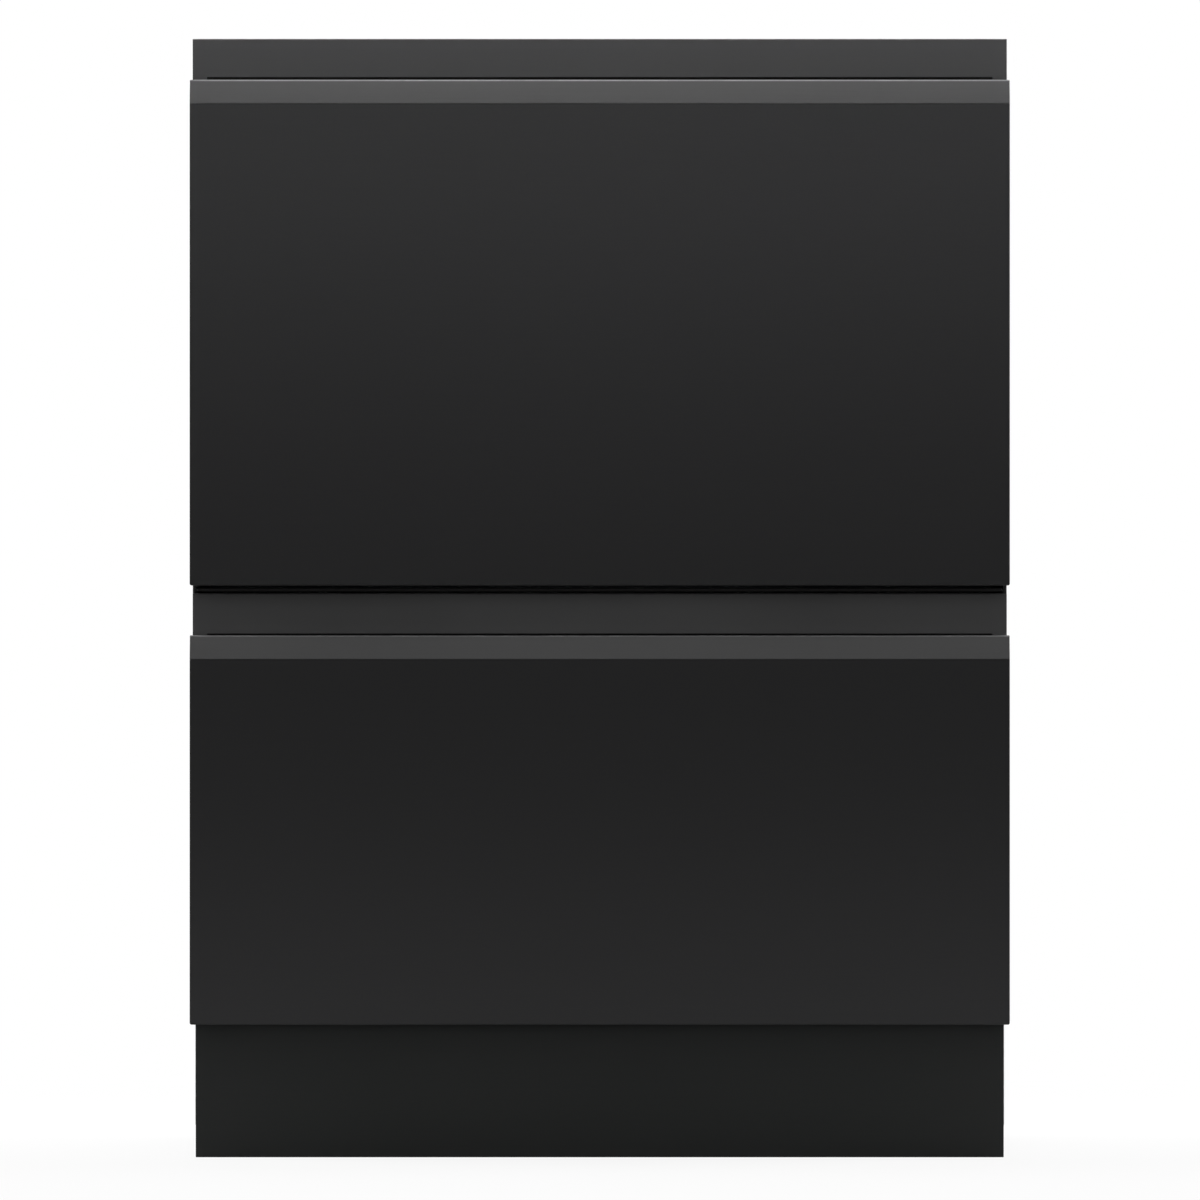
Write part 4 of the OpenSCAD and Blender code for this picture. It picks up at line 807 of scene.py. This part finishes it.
def add_ring(name, place, outer, inner, height, turn=UP, sides=32):
    """A ring whose middle is at place."""
    obj = add_rod(name, place, outer, height, turn, sides)
    edit(obj)
    axis = Vector((0, 1, 0)) if turn == TO_REAR else Vector((0, 0, 1))
    select_parts("face", lambda m, n: abs(n.dot(axis)) > ALONG)
    bpy.ops.mesh.inset(thickness=outer - inner)
    bpy.ops.mesh.bridge_edge_loops()
    bpy.ops.object.mode_set(mode="OBJECT")
    return obj


def add_thread(name, root, crest, pitch, start, end, steps=16):
    """A helical ridge round Z from start to end."""
    clear_selection()
    bpy.ops.mesh.primitive_circle_add(vertices=3, radius=root)
    obj = settle(name)
    for point, (radius, rise) in zip(obj.data.vertices, ((root, -0.42), (crest, 0), (root, 0.42))):
        point.co = (radius, 0, start + (rise + 0.5) * pitch)
    turns = int((end - start) / pitch) - 1
    modify(obj, "SCREW", axis="Z", screw_offset=pitch, iterations=turns, steps=steps, render_steps=steps)
    edit(obj)
    bpy.ops.mesh.select_all(action="SELECT")
    bpy.ops.mesh.fill_holes(sides=4)
    bpy.ops.mesh.select_all(action="SELECT")
    bpy.ops.mesh.normals_make_consistent(inside=False)
    bpy.ops.object.mode_set(mode="OBJECT")
    return obj


def add_ball(name, radius):
    """A small ball at the origin."""
    clear_selection()
    bpy.ops.mesh.primitive_uv_sphere_add(segments=12, ring_count=8, radius=radius)
    return settle(name)


tops = {drawer: side_of(drawer + "_recess_strip", HIGH, Z) for drawer in DRAWERS}
runner_z = {drawer: middle_of(drawer + "_drawer_rails", Z) for drawer in DRAWERS}
tub_middle = middle_of("upper_tub", Y)
print("drawer tops:", tops, "runners:", runner_z, "middle of the tubs:", tub_middle)

# %% [markdown]
# Pan-head screws hold the runners through the sides, the rear panel on its flanges and the cover
# on the shell. A head is a low rod with a rounded top edge, and two bars are cut out of it for the
# cross recess. It stands 1.3 mm proud, which still lies inside the width over the fronts.

# %% Screws
head_radius, head_h = 0.0038, 0.0013
recess_l, recess_w, recess_foot = 0.0036, 0.0007, 0.0006

screw = crown(add_rod("screw_head", (0, 0, head_h / 2), head_radius, head_h, sides=24), 0.0008)
for wide, deep in ((recess_l, recess_w), (recess_w, recess_l)):
    bar = add_block("bar", (-wide / 2, -deep / 2, recess_foot), (wide / 2, deep / 2, 0.0020))
    modify(screw, "BOOLEAN", operation="DIFFERENCE", object=bar)
    forget(bar)

shell_side = side_of("right_side_panel", HIGH, X)
shell_rear = side_of("rear_panel", LOW, Y) + sheet
cover_top = side_of("top_panel", HIGH, Z)
rail_spots = [(y, z) for y in (-0.2115, 0.1685) for z in runner_z.values()]
rear_spots = [(x, z) for x in (-0.290, 0.290) for z in (0.13, 0.30, 0.47, 0.64, 0.80)]
cover_spots = [(x, y) for x in (-0.289, 0.289) for y in (-0.19, 0.03, 0.25)]
spots = {
    "right_side_screws": [((shell_side, y, z), TO_RIGHT) for y, z in rail_spots],
    "left_side_screws": [((-shell_side, y, z), TO_LEFT) for y, z in rail_spots],
    "rear_screws": [((x, shell_rear, z), TO_REAR) for x, z in rear_spots],
    "cover_screws": [((x, y, cover_top), UP) for x, y in cover_spots],
}
for name, places in spots.items():
    heads = [placed(screw, "head", place, turn) for place, turn in places]
    finished(merge(name, heads), "cabinet", steel_finish)

# %% [markdown]
# The shell's front edges carry a rubber strip that the drawers close against. It is black, so the
# gap between the drawers stays dark, as in the photograph. The shelf between the drawers has one
# along its front edge as well, and one more closes the slit between the kickboard and the floor.

# %% Edge seals
seal_w = 0.0024
shell_front = side_of("right_side_panel", LOW, Y)
shell_foot, shell_top = side_of("right_side_panel", LOW, Z), side_of("right_side_panel", HIGH, Z)
shelf_front = side_of("mid_panel", LOW, Y)
shelf_half = side_of("mid_panel", HIGH, X) - 0.0023
shelf_seal_z = 0.4152, 0.4180
kick_low, kick_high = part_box("kickboard")

right_seal = soft_block("right_edge_seal", (shell_side - seal_w, shell_front - 0.0023, shell_foot + 0.0015),
                        (shell_side, shell_front + 0.0002, shell_top - 0.0003), 0.0007)
seals = [
    right_seal,
    mirror_copy(right_seal, "left_edge_seal"),
    soft_block("shelf_edge_seal", (-shelf_half, shelf_front - 0.0010, shelf_seal_z[LOW]),
               (shelf_half, shelf_front + 0.0013, shelf_seal_z[HIGH]), 0.0009),
    soft_block("kick_floor_seal", (kick_low.x, kick_low.y + 0.0002, 0.0002),
               (kick_high.x, kick_low.y + seal_w, kick_low.z + 0.0004), 0.0006),
]
for seal in seals:
    finished(seal, "cabinet", rubber_finish)

# %% [markdown]
# Each runner has two rows of steel balls in its cages: the rear cages roll between the cabinet's
# member and the middle one, and the front cages between the middle one and the drawer's. Both
# cages ride on the middle member. A ball shows for a third through its cage.

# %% Runner balls
cage_face = 0.2845
ball_out = 0.0011
ball_pitch, ball_count = 0.0135, 9
ball_rows = ((0.0975, 0.0190), (-0.2225, 0.0137))

ball = add_ball("ball", 0.0019)
for drawer in DRAWERS:
    places = [(side * (cage_face + ball_out), start + ball_pitch * n, runner_z[drawer] + up * height)
              for start, height in ball_rows for n in range(ball_count)
              for side in (-1, 1) for up in (-1, 1)]
    balls = [placed(ball, "ball", place) for place in places]
    finished(merge(drawer + "_runner_balls", balls), drawer + "_mid_rails", steel_finish)
forget(ball)

# %% [markdown]
# The control panel faces up and shows only when its drawer is open. A pane of dark glass closes
# the display window, a small lens sits beside each button, and a metal ring frames each button.

# %% Display panes and button trims
glass_finish, shader = new_finish("display_glass", (0.004, 0.004, 0.005), 0.05, specular=0.6)
smears = noise(glass_finish, pattern_place(glass_finish), 60)
glass_finish.node_tree.links.new(spread(glass_finish, smears, 0.03, 0.10), shader.inputs["Roughness"])
lens_finish = moulded("light_lens", (0.30, 0.36, 0.33), 0.18, specular=0.5, height=0.000005, edge=0.0002)
ring_finish = brushed_black("button_ring_metal", (0.30, 0.30, 0.31), 0.30, 0.6, share=0.06)

control_y = middle_of("upper_control_panel", Y)
button_x = {word: middle_of(f"upper_{word}_button", X) for word in ("power", "program", "start")}
pane_half_w, pane_half_d = 0.0367, 0.0087
pane_under, pane_t = 0.0001, 0.0004
lens_offset = 0.013

for drawer in DRAWERS:
    deck = side_of(drawer + "_control_panel", HIGH, Z)
    pane_top = deck - pane_under
    pane = add_block(drawer + "_display_pane", (-pane_half_w, control_y - pane_half_d, pane_top - pane_t),
                     (pane_half_w, control_y + pane_half_d, pane_top))
    edit(pane)
    round_edges(lambda m, d: abs(d.z) > ALONG, 0.0028, 5)
    round_edges(lambda m, d: near(m.z, pane_top), 0.00015, 2)
    finished(pane, drawer + "_drawer", glass_finish)
    lenses, rings = [], []
    for x in button_x.values():
        lens = add_rod("lens", (x, control_y - lens_offset, deck - 0.0002), 0.0011, 0.0005, sides=20)
        lenses.append(crown(lens, 0.0003))
        ring = add_ring("ring", (x, control_y, deck + 0.00022), 0.0090, 0.0074, 0.0005, sides=48)
        rings.append(crown(ring, 0.00015, 2))
    finished(merge(drawer + "_button_lenses", lenses), drawer + "_drawer", lens_finish)
    finished(merge(drawer + "_button_rings", rings), drawer + "_drawer", ring_finish)

# %% [markdown]
# The buttons carry plain raised marks: a circle with a bar for power, three bars for the program
# and a triangle for start. They stand in the shallow dish of each button and ride on it.

# %% Button marks
dish_depth = 0.0004
mark_sunk, mark_proud = 0.0001, 0.0003
bar_t = 0.0006


def mark_bar(x, y, wide, deep, dish):
    """A raised bar of a mark, centred on its place."""
    return add_block("mark", (x - wide / 2, y - deep / 2, dish - mark_sunk),
                     (x + wide / 2, y + deep / 2, dish + mark_proud))


def mark_shapes(word, x, dish):
    """The separate shapes of one button's mark."""
    if word == "power":
        return [add_ring("mark", (x, control_y, dish + 0.00012), 0.0026, 0.0021, 0.0004),
                mark_bar(x, control_y + 0.0010, bar_t, 0.0016, dish)]
    if word == "program":
        return [mark_bar(x, control_y + row * 0.0014, 0.0040, bar_t, dish) for row in (-1, 0, 1)]
    return [add_rod("mark", (x, control_y, dish + 0.0001), 0.0025, 0.0004, (0, 0, -math.pi / 2), sides=3)]


for drawer in DRAWERS:
    for word, x in button_x.items():
        button = f"{drawer}_{word}_button"
        dish = side_of(button, HIGH, Z) - dish_depth
        mark = merge(f"{drawer}_{word}_mark", mark_shapes(word, x, dish))
        finished(mark, button, white_finish)

# %% [markdown]
# The spray arm is held on its spindle by a grip nut, and each jet is a separate insert pressed
# into the arm. The arm's own body is in the solids, so only these parts are added here.

# %% Spray arm details
nut_radius, grip_circle, grip_count = 0.0150, 0.0152, 8
jet_reaches = (-0.1428, -0.1008, -0.0588, 0.0588, 0.1008, 0.1428)

for drawer in DRAWERS:
    arm = side_of(drawer + "_spray_arm", LOW, Z)
    parts = [crown(add_rod("cap", (0, tub_middle, arm + 0.0165), nut_radius, 0.0070, sides=48), 0.0020, 4)]
    for n in range(grip_count):
        angle = 2 * math.pi * n / grip_count
        x, y = grip_circle * math.cos(angle), tub_middle + grip_circle * math.sin(angle)
        parts.append(crown(add_rod("grip", (x, y, arm + 0.0160), 0.0022, 0.0056, sides=12), 0.0006, 2))
    for reach in jet_reaches:
        insert = add_ring("insert", (reach, tub_middle, arm + 0.0164), 0.0040, 0.0021, 0.0012, sides=24)
        parts.append(crown(insert, 0.0003, 2))
    finished(merge(drawer + "_jets_and_nut", parts), drawer + "_spray_arm", grey_finish)

# %% [markdown]
# A dip coat gathers at the free end of a wire, so every tine ends in a small round bead. The rows
# are those of the solids, with tines 26 mm apart, and the folding row's beads ride on its tines.

# %% Tine beads
tine_pitch, tine_reach = 0.026, 5
tine_top = 0.0641
rack_depth, rack_gaps = 0.348, 9
fixed_rows = {"upper": (7, 8), "lower": (1, 2, 7, 8)}

bead = add_ball("bead", 0.0020)
tine_spots = range(-tine_reach, tine_reach + 1)
for drawer in DRAWERS:
    height = side_of(drawer + "_rack", LOW, Z) + tine_top
    row_y = [tub_middle - rack_depth / 2 + rack_depth / rack_gaps * row for row in fixed_rows[drawer]]
    beads = [placed(bead, "bead", (tine_pitch * n, y, height)) for y in row_y for n in tine_spots]
    finished(merge(drawer + "_tine_beads", beads), drawer + "_drawer", wire_finish)
    height = side_of(drawer + "_fold_tines", HIGH, Z)
    beads = [placed(bead, "bead", (tine_pitch * n, tub_middle, height)) for n in tine_spots if n]
    finished(merge(drawer + "_fold_beads", beads), drawer + "_fold_tines", wire_finish)
forget(bead)

# %% [markdown]
# Inside each tub a vent and a water spout sit high on the rear wall, above the rack. The vent is a
# ring with slats across it, and the spout is a rounded block with a hollow in its underside.

# %% Vents and spouts
tub_wall = 0.2105
wall_lap = 0.0002
vent_x, vent_depth = -0.165, 0.092
slat_pitch, slat_half_h, slat_reach = 0.0055, 0.0011, 0.0205
spout_left, spout_right, spout_top, spout_foot = 0.150, 0.186, 0.082, 0.106
spout_hollow = 0.015

for drawer, top in tops.items():
    vent_z = top - vent_depth
    vent = [add_ring("vent", (vent_x, tub_wall - 0.0018, vent_z), 0.024, 0.020, 0.0040, TO_REAR, 48)]
    for n in range(-3, 4):
        reach = math.sqrt(slat_reach ** 2 - (slat_pitch * n) ** 2)
        z = vent_z + slat_pitch * n
        vent.append(soft_block("slat", (vent_x - reach, tub_wall - 0.0032, z - slat_half_h),
                               (vent_x + reach, tub_wall + wall_lap, z + slat_half_h), 0.0004, 2))
    finished(merge(drawer + "_tub_vent", vent), drawer + "_drawer", grey_finish)
    spout = add_block(drawer + "_water_spout", (spout_left, tub_wall - 0.0075, top - spout_foot),
                      (spout_right, tub_wall + wall_lap, top - spout_top))
    edit(spout)
    round_edges(lambda m, d: not near(m.y, tub_wall + wall_lap), 0.0030, 4)
    select_parts("face", lambda m, n: n.z < -ALONG and near(m.z, top - spout_foot))
    bpy.ops.mesh.inset(thickness=0.0010)
    bpy.ops.transform.translate(value=(0, 0, spout_hollow))
    finished(spout, drawer + "_drawer", grey_finish)

# %% [markdown]
# The dispenser in the tub's front wall has a ring round its rinse-aid cap, a latch and a hook for
# its door, and a small level window.

# %% Dispenser details
face = -0.1975

for drawer, top in tops.items():
    trim = [add_ring("trim", (-0.055, face + 0.0008, top - 0.091), 0.0188, 0.0163, 0.0018, TO_REAR, 48),
            soft_block("latch", (-0.0705, face - 0.0002, top - 0.0685),
                       (-0.0600, face + 0.0026, top - 0.0635), 0.0008),
            soft_block("hook", (-0.0720, face - 0.0002, top - 0.1175),
                       (-0.0620, face + 0.0018, top - 0.1130), 0.0006)]
    finished(merge(drawer + "_dispenser_trim", trim), drawer + "_drawer", black_finish)
    window = add_rod(drawer + "_level_window", (-0.0405, face + 0.0004, top - 0.0665),
                     0.0030, 0.0012, TO_REAR, 24)
    soften(window, 0.0005, 3, lambda m, d: m.y > face and abs(d.y) < ACROSS)
    finished(window, drawer + "_drawer", lens_finish)

# %% [markdown]
# The levelling feet are screwed into the base pan. The solids give them plain screws, and here each
# foot gets its pad with rounded edges, a hexagon for the wrench and a real thread: the core is
# 5.3 mm in radius and the crest reaches the solid's 6 mm.

# %% Feet
pad = soften(add_rod("pad", (0, 0, 0.003), 0.020, 0.006, sides=64, tip=0.017), 0.0008, 3,
             lambda m, d: abs(d.z) < ACROSS)
collar = crown(add_rod("collar", (0, 0, 0.0075), 0.014, 0.005, sides=48), 0.0006, 2)
hexagon = soften(add_rod("hexagon", (0, 0, 0.013), 0.011, 0.008, sides=6), 0.0005, 2)
core = crown(add_rod("core", (0, 0, 0.0545), 0.0053, 0.089, sides=24), 0.0012, 2)
thread = add_thread("thread", root=0.0052, crest=0.0060, pitch=0.00175, start=0.0175, end=0.0975)
foot = merge("foot", [pad, collar, hexagon, core, thread])
for name in ("foot_front_left", "foot_front_right", "foot_rear_left", "foot_rear_right"):
    low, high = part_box(name)
    post = placed(foot, name + "_post", ((low.x + high.x) / 2, (low.y + high.y) / 2, 0))
    finished(post, name, black_finish, [name], smooth=30)
forget(foot)

# %% [markdown]
# At the back, below the shell, are the three services. The water valve is remodelled with its
# thread, whose crest has the solid's radius, a strainer inside the inlet, a hexagon and the coil
# housing. It is modelled upright and then turned to the rear.

# %% Water valve
service_y = side_of("base_pan", HIGH, Y)
service_z = middle_of("waste_outlet", Z)

hexagon = soften(add_rod("hexagon", (0, 0, 0.0015), 0.0172, 0.003, sides=6), 0.0004, 2)
neck = add_rod("neck", (0, 0, -0.0140), 0.012, 0.030, sides=48)
pipe = crown(add_ring("pipe", (0, 0, 0.0111), 0.0122, 0.0085, 0.0162, sides=64), 0.0005, 2)
strainer = add_rod("strainer", (0, 0, 0.0060), 0.0086, 0.0012, sides=48)
edit(strainer)
select_parts("face", lambda m, n: n.z > ALONG)
bpy.ops.mesh.inset(thickness=0.0020)
bpy.ops.transform.translate(value=(0, 0, 0.0030))
housing = soft_block("body", (-0.014, -0.014, -0.040), (0.014, 0.014, -0.0012), 0.0020)
coil = soften(add_rod("coil", (0, -0.0215, -0.022), 0.011, 0.017, (math.pi / 2, 0, 0), 48), 0.0012, 3,
              lambda m, d: abs(d.y) < ACROSS)
thread = add_thread("thread", root=0.0120, crest=0.0132, pitch=0.0018, start=0.0042, end=0.0190, steps=48)
valve = merge("valve", [hexagon, neck, pipe, strainer, housing, coil, thread])
inlet = placed(valve, "inlet_valve", (middle_of("water_valve", X), service_y, service_z), TO_REAR)
finished(inlet, "cabinet", white_finish, ["water_valve"], smooth=30)
forget(valve)

# %% [markdown]
# The waste spigot gets three barbs that hold the hose, each a ring with its far edges rounded.

# %% Spigot barbs
barb_pitch = 0.0045
barbs = []
for n in range(3):
    foot_z = barb_pitch * n
    barb = add_ring("barb", (0, 0, 0.0060 + foot_z), 0.0101, 0.0092, 0.0026, sides=48)
    edit(barb)
    select_parts("edge", lambda m, d: m.z > 0.0070 + foot_z and abs(d.z) < ACROSS and m.xy.length > 0.0097)
    bpy.ops.mesh.bevel(offset=0.0005, segments=2, affect="EDGES")
    barbs.append(barb)
barbs = merge("barbs", barbs)
spigot = placed(barbs, "spigot_barbs", (middle_of("waste_outlet", X), service_y, service_z), TO_REAR)
finished(spigot, "cabinet", grey_finish)
forget(barbs)

# %% [markdown]
# The power entry has a gland nut with a rubber lip. An earth screw with its washer sits beside it.

# %% Gland nut and earth screw
power_x = middle_of("power_inlet", X)
earth_x = power_x - 0.040

nut = soften(add_ring("nut", (0, 0, 0.0055), 0.0112, 0.0077, 0.0060, sides=6), 0.0006, 2,
             lambda m, d: m.xy.length > 0.0080)
nut = merge("nut", [nut, add_ring("lip", (0, 0, 0.0126), 0.0072, 0.0047, 0.0014, sides=48)])
gland = placed(nut, "gland_nut", (power_x, service_y, service_z), TO_REAR)
finished(gland, "cabinet", black_finish, smooth=30)
washer = add_ring("washer", (0, 0, 0.0004), 0.0060, 0.0030, 0.0008, sides=24)
earth = [placed(washer, "washer", (earth_x, service_y, service_z), TO_REAR),
         placed(screw, "head", (earth_x, service_y + 0.0007, service_z), TO_REAR)]
finished(merge("earth_screw", earth), "cabinet", ring_finish)
forget(nut, washer, screw)
